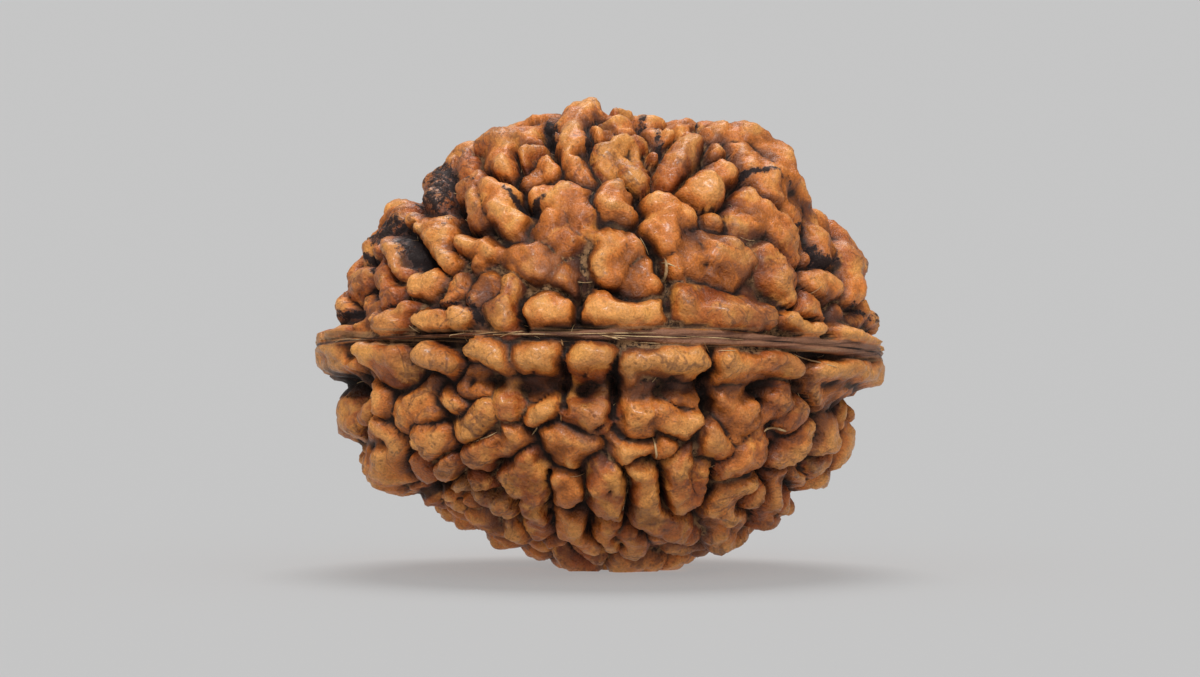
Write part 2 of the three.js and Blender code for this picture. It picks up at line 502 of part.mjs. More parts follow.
// How high the knobs near a place stand, and how far it is from the nearest ones
function knobsNear(bent, knobs) {
  const found = { nearest: Infinity, radius: tiny, mate: Infinity, neighbour: Infinity };
  let weights = tiny;
  let heights = 0;
  for (const { chains, middle, extent } of knobs) {
    if (bent.distanceTo(middle) > extent) continue;
    const reached = chains.map((chain) => chainNear(bent, chain));
    for (const { outside, radius, lift } of reached) {
      const fromMiddle = Math.max(outside + radius, 0) / (knob.spread * radius);
      const weight = Math.exp(-outside / knob.blend);
      const rise = knob.rise * radius ** knob.power + lift;
      weights += weight;
      heights += weight * rise * Math.sqrt(Math.max(0, 1 - fromMiddle ** 2));
    }
    const [best, other] = reached.sort((a, b) => a.outside - b.outside);
    if (best.outside < found.nearest) {
      found.neighbour = found.nearest;
      found.nearest = best.outside;
      found.radius = best.radius;
      found.mate = other ? other.outside : Infinity;
    } else {
      found.neighbour = Math.min(found.neighbour, best.outside);
    }
  }
  return { ...found, height: heights / weights };
}

// Distance from the centre to the finished surface, in a direction
function surfaceRadius(direction, { knobs, dips, slots }) {
  const floor = floorRadius(direction);
  const point = direction.clone().multiplyScalar(floor);
  const bent = wander(point);
  const { nearest, radius, mate, neighbour, height: full } = knobsNear(bent, knobs);

  const fromSeam = seamDistance(point);
  const widening = point.y < 0 ? seam.wider * smooth(seam.widerFrom, seam.widerTo, point.x) : 0;
  const pastRidge = Math.abs(fromSeam) - seam.halfWidth - widening;
  const shoulder = knob.shoulder * radius;
  const edge = Math.max((Math.min(neighbour, pastRidge) - nearest) / 2 - knob.gap, 0);
  const joint = parting(point);
  const side = 1 - joint * (1 - dome(edge / shoulder));
  const crease = 1 - knob.crease * (1 - dome((mate - nearest) / 2 / shoulder));
  const crack = knob.crack * joint ** 2 * Math.exp(-((edge / knob.crackWidth) ** 2));
  let height = full * side * crease - crack;

  const onRidge = 1 - smooth(-seam.rim, 0, pastRidge);
  const ridge = seam.ridge - seam.crack * Math.exp(-((fromSeam / seam.crackWidth) ** 2));
  height += (ridge - height) * onRidge;
  let reach = floor + height * (1 + swell * waves(bent, swellWaves)) + shelfHeight(direction, fromSeam);
  for (const { at, size, depth } of dips) reach -= depth * Math.exp(-bent.distanceToSquared(at) / size ** 2);
  for (const { path, width, depth } of slots) {
    const away = chainNear(bent, path).outside;
    reach -= depth * Math.exp(-((away / width) ** 2)) * (1 - onRidge);
  }
  return direction.z < 0 ? Math.min(reach, restHeight / -direction.z) : reach;
}

// The same, evened out over the small square of surface that one point stands for
function softRadius(direction, size, form) {
  const middle = surfaceRadius(direction, form);
  if (Math.abs(seamDistance(direction)) < size) return middle;
  const [east, north] = crossways(direction);
  const around = [[1, 0], [-1, 0], [0, 1], [0, -1]].map(([u, v]) => {
    const near = direction.clone().addScaledVector(east, u * size).addScaledVector(north, v * size);
    return surfaceRadius(near.normalize(), form);
  });
  const mean = around.reduce((sum, radius) => sum + radius, middle) / (around.length + 1);
  const soft = Math.max(mean, middle);
  return direction.z < 0 ? Math.min(soft, restHeight / -direction.z) : soft;
}

// Everything that stands on the floor or is cut into it
function seedForm() {
  drawState = hidden.seed;
  const knobs = growHidden(seenKnobs()).map((chains) => {
    const balls = chains.flat();
    const middle = new THREE.Vector3();
    balls.forEach((ball) => middle.addScaledVector(ball.at, 1 / balls.length));
    const reaches = balls.map((ball) => ball.at.distanceTo(middle) + ball.radius);
    return { chains, middle, extent: Math.max(...reaches) + knob.farthest };
  });
  const dips = hollows.map(([x, z, size, depth]) => ({ at: placeSeen(x, z), size, depth }));
  const slots = clefts.map(([width, depth, ...path]) => {
    const balls = path.map(([x, z]) => ({ at: placeSeen(x, z), radius: 0, lift: 0 }));
    return { width, depth, path: balls };
  });
  notches.forEach(([x, z, width, depth]) => {
    const reach = Math.hypot(x, z);
    const path = notchTurns.map((turn) => {
      const point = new THREE.Vector3(x * Math.cos(turn), reach * Math.sin(turn), z * Math.cos(turn));
      return { at: onFloor(point), radius: 0, lift: 0 };
    });
    slots.push({ width, depth, path });
  });
  return { knobs, dips, slots };
}

// The whole stone, as a ball whose every point is moved out to the surface
function seedGeometry() {
  const form = seedForm();
  const box = new THREE.BoxGeometry(2, 2, 2, squaresPerSide, squaresPerSide, squaresPerSide);
  box.deleteAttribute("normal");
  box.deleteAttribute("uv");
  const ball = mergeVertices(box);
  const points = ball.attributes.position;
  const even = (v) => Math.tan((v * Math.PI) / 4); // spaces the squares evenly over the ball
  const seamUp = new THREE.Vector3(seam.slopeRight, seam.slopeBack, 1).normalize();
  const toSeam = new THREE.Quaternion().setFromUnitVectors(new THREE.Vector3(0, 0, 1), seamUp);
  const size = (softening * Math.PI) / 2 / squaresPerSide;
  const point = new THREE.Vector3();
  for (let i = 0; i < points.count; i++) {
    point.fromBufferAttribute(points, i);
    point.set(even(point.x), even(point.y), even(point.z)).normalize().applyQuaternion(toSeam);
    point.multiplyScalar(softRadius(point, size, form));
    points.setXYZ(i, point.x, point.y, point.z);
  }
  ball.clearGroups();
  ball.computeBoundingBox();
  const { min, max } = ball.boundingBox;
  ball.translate(-(min.x + max.x) / 2, -(min.y + max.y) / 2, restHeight);
  ball.computeVertexNormals();
  return ball;
}

const seedSkin = new THREE.MeshStandardMaterial({ color: 0x9c6238, roughness: 0.55, metalness: 0 });
const seed = new THREE.Mesh(seedGeometry(), seedSkin);
seed.name = "seed";

const rudraksha = new THREE.Group();
rudraksha.name = "rudraksha";
rudraksha.add(seed);
export default rudraksha;
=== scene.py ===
import math
import bpy
import numpy as np
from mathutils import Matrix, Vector


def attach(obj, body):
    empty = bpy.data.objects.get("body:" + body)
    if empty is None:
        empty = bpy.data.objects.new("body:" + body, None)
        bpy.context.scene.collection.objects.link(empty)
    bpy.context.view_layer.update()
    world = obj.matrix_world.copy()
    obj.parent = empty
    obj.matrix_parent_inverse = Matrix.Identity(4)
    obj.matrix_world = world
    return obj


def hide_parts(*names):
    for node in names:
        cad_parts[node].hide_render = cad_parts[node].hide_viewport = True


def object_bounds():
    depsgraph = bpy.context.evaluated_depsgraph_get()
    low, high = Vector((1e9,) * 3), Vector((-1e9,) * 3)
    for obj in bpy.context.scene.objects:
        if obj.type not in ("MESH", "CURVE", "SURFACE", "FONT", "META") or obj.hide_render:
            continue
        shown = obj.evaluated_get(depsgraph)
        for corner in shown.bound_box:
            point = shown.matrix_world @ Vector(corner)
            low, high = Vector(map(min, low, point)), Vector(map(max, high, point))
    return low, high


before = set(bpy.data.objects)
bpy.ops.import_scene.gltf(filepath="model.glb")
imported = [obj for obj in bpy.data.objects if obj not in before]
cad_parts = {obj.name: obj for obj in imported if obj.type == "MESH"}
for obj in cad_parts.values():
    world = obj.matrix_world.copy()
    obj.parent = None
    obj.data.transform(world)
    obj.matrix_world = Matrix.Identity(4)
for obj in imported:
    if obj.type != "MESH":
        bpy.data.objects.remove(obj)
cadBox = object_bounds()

mm = 0.001
print("frame loaded, the seed's box is", [[round(v / mm, 2) for v in corner] for corner in cadBox])


# The seed's form, in millimetres from a centre in the seam's plane

seedBody = {
    "restHeight": 8.65,       # from the flat it rests on up to the centre
    "halfDepth": 9.8,
    "outline": [              # the front view's radius every 15 degrees, from the right tip over the top
        10.85, 11.3, 10.8, 10.75, 10.6, 9.8, 10.1, 9.8, 10.05, 9.9, 10.5, 10.6,
        10.7, 10.9, 10.5, 9.15, 8.8, 8.6, 8.95, 9.25, 9.45, 9.9, 10.7, 10.75,
    ],
    "grooveDepth": 0.9,       # how far the grooves' floor lies inside the outline
    "viewTilt": 3.0,          # degrees that the view of the knob tables looks down by
    "squaresPerSide": 128,    # the surface is a cube's six faces blown out to a ball
}

seam = {
    "slopeBack": 0.128,       # fall towards the back, per millimetre
    "slopeRight": 0.017,
    "lift": 0.55,             # rise of the shelf that carries the seam
    "tipLift": 0.55,
    "tipNarrow": 0.4,         # how much narrower the shelf is at the tips, as a share
    "tipDrop": 0.3,
    "tipStart": 0.75,
    "shelf": 0.9,
    "foot": 1.75,
    "ridge": 0.45,
    "crack": 0.1,
    "crackWidth": 0.05,
    "halfWidth": 0.08,
    "wider": 0.18,            # more half width on the right of the front
    "widerFrom": -3.0,
    "widerTo": 3.0,
    "rim": 0.06,
}

knob = {
    "seenAbove": 0.6,         # the knobs' tops, as seen, lie this far over the grooves' floor
    "farthest": 2.2,
    "gap": 0.02,              # half width of the bare floor between two knobs
    "shoulder": 0.88,         # width of the rounded side, in radii
    "spread": 2.1,            # reach of a lone knob from its middle line, in radii
    "rise": 1.4,              # height for a radius of one millimetre
    "power": 0.7,
    "joint": 0.58,            # how far two knobs part where they meet, as a share of their height
    "leastJoint": 0.12,
    "uneven": 0.36,           # how much the parting varies from place to place
    "crease": 0.14,           # the same between two chains of one knob
    "crack": 0.26,            # extra depth of the fine crack where they part fully
    "crackWidth": 0.07,
    "blend": 0.16,            # millimetres over which the heights of neighbours run together
}

# Knobs as they show from the front: chains of balls [x, z, radius] or [x, z, radius, lift]
upperKnobs = [
    [[[-3.9, 7.4, 0.5], [-4.1, 8.3, 0.75], [-2.8, 8.65, 0.6]]],
    [
      [[-5.1, 8.5, 0.35], [-5.15, 7.6, 0.4]], [[-5.2, 6.8, 0.45], [-4.95, 6.1, 0.5], [-4.75, 5.3, 0.4]],
      [[-4.4, 6.7, 0.55], [-3.7, 5.8, 0.6], [-3.2, 5.2, 0.5]],
    ],
    [[[-2.9, 9.1, 0.4, -0.1], [-2, 9.25, 0.35, -0.1]]],
    [[[0, 9.7, 0.45], [-0.8, 9.6, 0.7], [-1.05, 8.6, 0.55], [-0.95, 7.7, 0.45], [-0.5, 7.1, 0.42]]],
    [[[-1.95, 7.8, 0.4, -0.2], [-1.7, 7.35, 0.4]], [[-2.6, 7.25, 0.4, -0.3]]],
    [
      [[-2.1, 6.3, 0.45, -0.1], [-1.1, 6.2, 0.65], [-0.6, 5.4, 0.6], [-0.4, 4.85, 0.45]],
      [[-1.65, 4.9, 0.65], [-1.25, 4.35, 0.55]],
    ],
    [[[0.9, 6.5, 0.6], [0.8, 5.7, 0.75]]],
    [
      [[0.45, 7.4, 0.35], [0.6, 8.2, 0.5], [1.4, 8.4, 0.4], [1.95, 7.7, 0.3]],
      [[1.3, 7.5, 0.4], [1.7, 6.8, 0.5]],
    ],
    [[[0.8, 9.3, 0.45], [1.2, 9, 0.4]], [[2.15, 9.25, 0.5]]],
    [[[3.3, 8.9, 0.55], [3.5, 8.1, 0.65], [3.2, 7.3, 0.6], [2.8, 6.85, 0.42]]],
    [
      [[4.6, 8.8, 0.6], [5.7, 8.5, 0.95], [6.8, 7.8, 1.15, -0.05], [7.35, 6.8, 1],
       [7.65, 5.8, 0.7, 0.05], [7.95, 5.1, 0.4]], [[5.6, 7.9, 0.65], [6.4, 7.1, 0.75], [6.95, 6.3, 0.6]],
    ],
    [[[4.75, 8.1, 0.45], [5.1, 8.05, 0.36]]], [[[4.9, 7.15, 0.5], [4.4, 6.7, 0.82], [3.95, 6.35, 0.6]]],
    [
      [[5.9, 6.1, 0.55], [6.4, 5.5, 0.8], [7.2, 4.6, 0.7], [7.75, 3.9, 0.4]],
      [[5.6, 5.3, 0.5], [6.2, 4.8, 0.55]],
    ],
    [[[8.25, 4.4, 0.2], [8.6, 3.8, 0.18]]],
    [
      [[8.5, 5.4, 0.45], [8.85, 4.8, 0.58], [9.05, 4.2, 0.42]],
      [[9.6, 4.9, 0.5], [10.1, 4.2, 0.7], [10.2, 3.2, 0.7], [10.1, 2.3, 0.6]],
    ],
    [[[8.8, 2.8, 0.5], [9.3, 2.7, 0.45]]], [[[6.6, 3.45, 0.65], [7.1, 2.95, 0.85], [7.45, 2.4, 0.55]]],
    [[[8, 2, 0.42], [8.8, 1.85, 0.4]]],
    [
      [[2.5, 5.85, 0.55], [3.4, 5.4, 0.6], [2.6, 4.9, 0.65]],
      [[3.5, 4.3, 0.35], [3.5, 3.5, 0.6], [4, 3.1, 0.4]],
      [[4.7, 4, 0.7], [5.25, 3.6, 0.72], [4.85, 3, 0.55]],
    ],
    [[[4.7, 5.3, 0.3]]],
    [
      [[0.6, 4.2, 0.7], [0.6, 3.4, 0.65], [1.2, 4.2, 0.5]],
      [[2, 3.4, 0.42], [1.6, 2.75, 0.45], [2.2, 2.8, 0.4]],
    ],
    [[[-3.3, 3.85, 0.5], [-2.6, 3.7, 0.6], [-1.9, 3.35, 0.6]], [[-1.3, 3, 0.55], [-0.75, 2.65, 0.35]]],
    [[[-4.9, 4.3, 0.55], [-4.5, 3.9, 0.6], [-4.7, 3.65, 0.5]]],
    [[[-5.6, 2.6, 0.42], [-5.9, 2.3, 0.38]], [[-4.4, 2.75, 0.38], [-4.65, 2.3, 0.38], [-4.1, 2.35, 0.3]]],
    [[[-3.35, 2.55, 0.38], [-3.5, 2, 0.32], [-3.8, 1.35, 0.45]]],
    [[[-1.85, 2.1, 0.42], [-2.2, 1.45, 0.48], [-1.35, 1.45, 0.48]]],
    [[[0.1, 2.1, 0.45], [0.2, 1.45, 0.55], [1.3, 1.45, 0.6], [2.1, 1.5, 0.5]]],
    [
      [[3.6, 1.8, 0.6], [4.7, 1.5, 0.65], [5.7, 1.6, 0.65], [6.5, 1.4, 0.45]],
      [[5.7, 1.6, 0.6], [5.85, 2.35, 0.38]],
    ],
    [[[7.6, 1.1, 0.42], [8.3, 1, 0.5]]],
    [
      [[9.4, 0.8, 0.45], [10.2, 0.6, 0.4], [11, 0.4, 0.3]],
      [[9.6, 1.45, 0.35], [10.5, 1.4, 0.5, 0.25], [11.1, 1.15, 0.38, 0.4]],
    ],
    [[[-6.5, 1.1, 0.38], [-6, 1.2, 0.33]], [[-5.4, 1.3, 0.45]]],
    [[[-8.2, 1.05, 0.48], [-7.75, 1.25, 0.42]], [[-7.4, 1.9, 0.27]]],
    [[[-9.8, 0.8, 0.3], [-10.5, 0.8, 0.27], [-11.2, 0.65, 0.2]]],
    [[[-9.5, 1.7, 0.28], [-8.8, 1.65, 0.28]]], [[[-7.1, 2.8, 0.55], [-6.75, 2.9, 0.48]]],
    [[[-7.5, 5.55, 0.33], [-6.9, 5.35, 0.4], [-6.45, 4.8, 0.48], [-6.3, 4.1, 0.4], [-6.15, 3.65, 0.38]]],
    [[[-5.75, 7.6, 0.45], [-6.4, 7, 0.48], [-6.65, 6.25, 0.35]]],
    [[[-8.1, 5.65, 0.42, -0.15], [-8.8, 4.9, 0.5, -0.3], [-9, 4.25, 0.38, -0.15]]],
    [[[-8.85, 3.55, 0.36], [-8.6, 2.9, 0.42], [-8.25, 2.2, 0.48]]],
    [[[-9.7, 3.5, 0.45], [-9.5, 2.8, 0.5], [-9.8, 2.3, 0.3]]], [[[-10.3, 1.4, 0.33]]],
]
lowerKnobs = [
    [
      [[-11.2, 0.1, 0.2], [-10.4, -0.05, 0.33], [-9.8, 0, 0.3]],
      [[-10.4, -0.7, 0.33], [-9.4, -0.8, 0.28]],
    ],
    [[[-8.8, 0, 0.4], [-7.9, 0, 0.42]], [[-8.5, -0.8, 0.3], [-7.6, -0.8, 0.25, -0.1]]],
    [[[-6.45, 0.1, 0.4], [-5.95, -0.4, 0.4]]], [[[-4.75, 0.15, 0.38], [-3.95, -0.15, 0.48]]],
    [[[-2.8, 0.15, 0.4], [-2, 0, 0.42], [-2, -0.5, 0.3]]],
    [[[-0.55, -0.1, 0.5], [0.05, -0.1, 0.48], [0, -0.85, 0.22]]],
    [[[1.5, -0.95, 0.35], [1.5, -0.4, 0.45], [2.5, -0.35, 0.42], [3.5, -0.4, 0.48], [3.6, -0.9, 0.35]]],
    [[[5.2, -0.95, 0.42], [5.2, -0.45, 0.48], [6.4, -0.45, 0.45], [7.35, -0.5, 0.45]]],
    [
      [[8.8, -0.6, 0.38], [9.6, -0.6, 0.38], [10.6, -0.6, 0.33], [11.2, -0.45, 0.22]],
      [[8.9, -1.45, 0.45], [9.6, -1.7, 0.52], [10.4, -1.35, 0.38]],
    ],
    [[[10.25, -2.25, 0.33, 0.15]]], [[[-10.1, -1.8, 0.48], [-9.95, -2.8, 0.62]]],
    [[[-8.8, -1.7, 0.55], [-8.7, -2.1, 0.42]]],
    [
      [[-6.7, -1.45, 0.33], [-7.35, -2, 0.42], [-7.9, -2.6, 0.4]],
      [[-7.25, -2.4, 0.33], [-6.85, -2.3, 0.28]],
    ],
    [[[-6.25, -1.75, 0.33], [-5.9, -2, 0.33]]], [[[-5.2, -1.25, 0.42, -0.4], [-4.6, -1.45, 0.42, -0.3]]],
    [
      [[-3.4, -1.55, 0.4, -0.15], [-3.55, -2.3, 0.48]],
      [[-5.4, -3.15, 0.38], [-4.9, -2.8, 0.45], [-4.4, -2.55, 0.4]],
    ],
    [[[-2.45, -2.5, 0.4], [-1.95, -2.35, 0.4]]], [[[-2.4, -1.4, 0.4, -0.5]]],
    [[[-0.9, -2.5, 0.45], [-0.2, -2.5, 0.6], [0.3, -2.05, 0.4, -0.1]], [[-0.7, -1.3, 0.3, -0.4]]],
    [
      [[1.9, -1.7, 0.48], [1.9, -2.5, 0.5], [1.8, -3.05, 0.42]],
      [[2.7, -2.45, 0.4], [3.2, -3, 0.5], [3.85, -2.9, 0.38]],
    ],
    [[[3.5, -1.85, 0.48, -0.35], [4, -2, 0.38, -0.35]]],
    [[[5.5, -1.75, 0.48], [5.75, -2.4, 0.48]], [[5.6, -3.1, 0.42], [6.15, -3, 0.38]]],
    [[[7.3, -1.8, 0.62]], [[8.3, -2.25, 0.42], [7.95, -2.6, 0.38]], [[6.75, -2.6, 0.33]]],
    [[[4.6, -3.7, 0.48], [5, -3.7, 0.42]]], [[[6.5, -3.6, 0.42], [6, -4.15, 0.58], [5.45, -4.65, 0.48]]],
    [[[8.4, -3.35, 0.42], [8.1, -3.8, 0.48], [7.65, -4.35, 0.42]]],
    [[[9.5, -2.75, 0.42], [9.4, -3.5, 0.48]]], [[[9.2, -4.5, 0.38], [8.95, -4.85, 0.33]]],
    [[[8, -5.3, 0.22], [8.6, -5.35, 0.25]]],
    [[[7.3, -5.25, 0.38], [7.1, -5.9, 0.5, 0.15], [6.6, -6.7, 0.48, 0.45]]],
    [
      [[5.55, -5.45, 0.55], [5.2, -6.2, 0.58], [5.55, -6.9, 0.42]],
      [[4.7, -7, 0.35, 0.1], [5.1, -7.45, 0.36, 0.3], [5.7, -7.3, 0.38, 0.3]],
    ],
    [
      [[3.4, -4.45, 0.45], [3.15, -5.2, 0.48], [3.2, -5.9, 0.5], [3.75, -5.9, 0.42]],
      [[4.4, -4.65, 0.28], [4.15, -5.4, 0.35]],
    ],
    [
      [[1.6, -4.65, 0.5], [2, -5.1, 0.5], [1.9, -5.8, 0.48], [2.2, -6.6, 0.5], [3, -7.15, 0.55],
       [3.65, -7.4, 0.45]],
    ],
    [[[0.9, -4, 0.48], [1.7, -3.9, 0.42]], [[2.6, -3.8, 0.33]]],
    [[[0.4, -4.75, 0.48], [0.3, -5.5, 0.58], [0.4, -6.2, 0.52]]],
    [[[-1.5, -5.15, 0.42], [-1.3, -5.7, 0.52], [-1.5, -6.3, 0.28]]],
    [[[-1.1, -6.85, 0.38], [-0.8, -7.4, 0.48], [-0.45, -7.85, 0.35]]],
    [
      [[-2.5, -5.5, 0.38], [-2.4, -6.5, 0.38], [-2.35, -7.35, 0.33]],
      [[-2.8, -4.2, 0.38], [-2.6, -4.7, 0.45], [-3.1, -5.4, 0.48]],
    ],
    [[[-3.35, -3.3, 0.38], [-3.6, -3.8, 0.42]], [[-4.5, -3.75, 0.38], [-4.7, -4.3, 0.48]]],
    [[[-1.9, -3.4, 0.38], [-1.2, -3.5, 0.42], [-0.6, -3.7, 0.42], [-1.1, -4.1, 0.38]]],
    [
      [[-3.8, -6.25, 0.42], [-3.6, -6.5, 0.28]], [[-4.6, -5.9, 0.45, -0.3]],
      [[-5.7, -5.35, 0.38], [-5.7, -6.3, 0.38]],
    ],
    [[[-4.9, -6.6, 0.38], [-4.4, -7.1, 0.38], [-3.95, -7.25, 0.33]]],
    [[[-6, -4.5, 0.45], [-6.15, -5.1, 0.38]]],
    [[[-8.7, -3.3, 0.55], [-8.7, -4.3, 0.8, -0.1], [-8.55, -5.1, 0.7, -0.05], [-7.95, -5.55, 0.45, 0.2]]],
    [[[-7.3, -4.6, 0.3], [-7.05, -5.2, 0.28]]],
    [[[-7, -3.4, 0.48], [-6.4, -3.65, 0.45], [-6.7, -4.1, 0.4]]],
    [[[-3.2, -7.6, 0.38, -0.1], [-2.4, -7.85, 0.3]], [[-1.7, -7.7, 0.38]]],
    [[[0.4, -7.2, 0.33], [0.45, -7.85, 0.3]], [[1.5, -7.6, 0.42], [1.25, -8.1, 0.38]]],
    [[[2.5, -7.7, 0.33, -0.15]]], [[[3.3, -8.15, 0.25], [4.1, -8, 0.25]]],
]
footKnobs = [  # the lowest ones, seen from below: [x, y, radius]
    [[-0.9, -0.2, 0.75], [0.2, 0.35, 0.95], [1.3, 0.1, 0.85]],
    [[0.7, -1.9, 0.6], [1.7, -1.7, 0.6]],
    [[-0.5, 2.1, 0.65], [0.5, 2.3, 0.65]],
    [[-1.1, -1.7, 0.64], [-0.4, -1.8, 0.6]],
]
hollows = [  # pits and dips: [x, z, radius, depth]
    [-2.7, 5.85, 0.4, 0.5], [-1.9, 8.8, 0.3, 0.6], [-5.8, 6.2, 0.35, 0.7], [-5.7, 5.4, 0.3, 0.5],
    [-8, 5, 0.45, 0.55], [-8.1, 4.3, 0.45, 0.5], [-7.4, 4.1, 0.6, 0.65], [-7, 3.5, 0.4, 0.5],
    [1.25, 6.65, 0.16, 0.4], [5.3, 6.45, 0.22, 0.5], [8.4, 3.5, 0.3, 0.3], [-3.9, -4.6, 0.2, 0.6],
    [-0.4, -1.65, 0.22, 0.5], [6.45, -2.1, 0.14, 0.5], [0.3, -5.4, 0.12, 0.35], [8.2, -4.8, 0.3, 0.5],
    [2.2, 7.7, 0.3, 0.4], [-1.2, -0.7, 0.3, 0.5], [4.3, -1, 0.25, 0.6], [0.8, -1.1, 0.3, 0.5],
    [-3.1, -6.5, 0.2, 0.6], [-1.9, -6.5, 0.2, 0.5], [-0.5, 7.9, 0.22, 0.5], [-0.2, 8.5, 0.25, 0.4],
]

clefts = [  # deep slots: width and depth, then [x, z] along each
    [0.15, 0.6, [2.85, 1], [2.9, 2.7], [2.3, 3.9], [1.5, 4.8]], [0.13, 0.7, [-3, 1], [-2.9, 2.1]],
    [0.13, 0.7, [-0.7, 1.1], [-0.6, 2.1], [-0.5, 2.7]],
    [0.16, 0.8, [0.85, -0.1], [0.9, -1.5], [0.6, -2.8], [0.2, -3.1]],
    [0.16, 0.8, [4.35, -0.2], [4.5, -1.3], [4.6, -2.7]],
    [0.15, 0.7, [-1.35, 0.1], [-1.2, -0.8], [-1.25, -2.3]],
    [0.13, 0.6, [8.1, -0.4], [8.1, -1.1], [8.9, -2.2]], [0.13, 0.6, [-5.3, 0.1], [-5, -0.9]],
    [0.13, 0.6, [-1.95, -4.8], [-1.95, -6.8]], [0.13, 0.6, [-3.1, -5.9], [-3.05, -6.6], [-3.4, -7]],
    [0.13, 0.6, [-0.5, -4.9], [-0.4, -5.8], [-0.9, -6.4]],
    [0.13, 0.6, [1.1, -5.1], [1.2, -5.9], [1, -6.4]],
    [0.13, 0.6, [2.6, -4.7], [2.55, -5.8], [2.7, -6.2]],
    [0.13, 0.6, [4.8, -4.7], [4.5, -5.7], [4.3, -6.4]],
    [0.15, 0.6, [7.1, -3.9], [6.8, -4.7], [6.6, -5.1]], [0.12, 0.5, [1.7, -7.1], [2, -7.5]],
    [0.12, 0.5, [0.8, -7.5], [0.75, -8.4]], [0.12, 0.5, [-6.5, -4.8], [-6.4, -5.4]],
    [0.12, 0.5, [9, -2.7], [8.6, -3.6]],
    [0.34, 0.42, [-5, -1.25], [-2.5, -1.35], [0, -1.6], [2.6, -1.65], [4.3, -1.6], [6, -1.55],
     [8.1, -1.4]], [0.4, 0.5, [-7.7, 5.1], [-7.7, 4.5], [-7.2, 3.8], [-6.9, 3.4]],
    [0.22, 0.7, [-5.95, 6.7], [-5.8, 5.8], [-5.6, 4.8]],
    [0.16, 0.6, [-1.95, 9.1], [-1.85, 8.3], [-1.5, 7.7]],
    [0.12, 0.4, [-2.7, 6.7], [-2.75, 5.7], [-2.4, 5.1]],
]
notches = [  # notches in the outline, which run on round to the back: [x, z, width, depth]
    [-10.7, -1.15, 0.8, 0.55], [-10.35, -1.45, 0.4, 0.35], [-9.47, -3.7, 0.4, 0.6],
    [-7, -5.65, 0.5, 0.65], [8.25, -5.6, 0.5, 0.5], [10.45, -1.95, 0.35, 0.35], [-9.5, 4, 0.35, 0.3],
    [-7.3, 6.25, 0.4, 0.35], [0.35, 9.55, 0.3, 0.4], [8.15, 6.5, 0.3, 0.3], [10.73, 1.9, 0.3, 0.2],
]
notchTurns = [-0.45, -0.2, 0, 0.2, 0.45]  # radians from the rim along each of them

hiddenSides = {
    "seed": 7,
    "tries": 420,
    "radius": 0.36,
    "moreRadius": 0.26,
    "reach": 1.5,
    "step": 0.6,
    "bend": 1.6,
    "links": 3,
    "linkReach": 0.5,
    "thinnest": 0.85,
    "thicker": 0.25,
    "clearance": 0.88,
    "seamGap": 0.3,
    "jitter": 0.1,
}
toothRow = {
    "start": 0.02,            # radians from the tips
    "radius": 0.42,
    "moreRadius": 0.12,
    "offset": 0.28,
    "rise": 0.2,
    "moreRise": 0.5,
    "sway": 0.7,
    "gap": 0.25,
    "taper": 0.8,
    "tipSize": 0.5,           # size of the teeth at the tips, as a share
    "tipPower": 8,
}
wanders = [  # size, slow and fast pitch, phase
    [0.13, 1.9, 2.3, 0.4],
    [0.13, 2.2, 1.7, 2.1],
    [0.13, 1.6, 2.6, 4.0],
]
ripple = {"bend": 1.7, "turn": 0.6, "share": 0.6, "quick": 1.9, "curl": 1.3}
swell = 0.07
swellWaves = [[3.1, 1.9, 2.3], [3.4, 1.7, 2.6], [2.9, 1.8, 2.8]]
jointWaves = [[0.9, 1.4, 0.7], [1.1, 1.3, 0.8], [1, 1, 0.9]]


def makeDraws(seed):  # draws between 0 and 1, the same in every run
    state = seed
    while True:
        state = (state * 1664525 + 1013904223) % 4294967296
        yield state / 4294967296


def smooth(low, high, value):
    t = np.clip((value - low) / (high - low), 0, 1)
    return t * t * (3 - 2 * t)


def dome(t):  # a quarter circle's rise
    return np.sqrt(1 - (1 - np.clip(t, 0, 1)) ** 2)


def unit(vectors):
    return vectors / np.linalg.norm(vectors, axis=-1, keepdims=True)


def outlineRadius(angle):
    radii = np.array(seedBody["outline"])
    count = len(radii)
    place = (angle / math.tau * count) % count
    i = np.floor(place).astype(int)
    f = place - i
    a, b, c, d = (radii[(i + k) % count] for k in (-1, 0, 1, 2))
    return b + 0.5 * f * (c - a + f * (2 * a - 5 * b + 4 * c - d + f * (3 * (b - c) + d - a)))


def floorRadius(directions):  # distance from the centre to the grooves' floor
    x, y, z = directions[..., 0], directions[..., 1], directions[..., 2]
    across = outlineRadius(np.arctan2(z, x)) - seedBody["grooveDepth"]
    return 1 / np.hypot(np.hypot(x, z) / across, y / (seedBody["halfDepth"] - seedBody["grooveDepth"]))


def onFloor(point):
    direction = unit(np.asarray(point, float))
    return direction * floorRadius(direction)


def seamDistance(points):
    fall = points[..., 2] + seam["slopeBack"] * points[..., 1] + seam["slopeRight"] * points[..., 0]
    return fall / math.hypot(1, seam["slopeBack"], seam["slopeRight"])


def placeSeen(x, z):  # the place on the floor under what shows at x, z from the front
    tilt = math.radians(seedBody["viewTilt"])

    def along(y):
        return np.array([x, y, (z - y * math.sin(tilt)) / math.cos(tilt)])

    def outside(y):
        point = along(y)
        return np.linalg.norm(point) > floorRadius(unit(point)) + knob["seenAbove"]

    near, far = -1.2 * seedBody["halfDepth"], 0.0
    if not outside(far):
        for _ in range(30):
            middle = (near + far) / 2
            if outside(middle):
                near = middle
            else:
                far = middle
    return onFloor(along(far))


def seenKnobs():
    def ball(x, z, radius, lift=0.0):
        return (placeSeen(x, z), radius, lift)
    return [[[ball(*b) for b in chain] for chain in chains] for chains in upperKnobs + lowerKnobs]


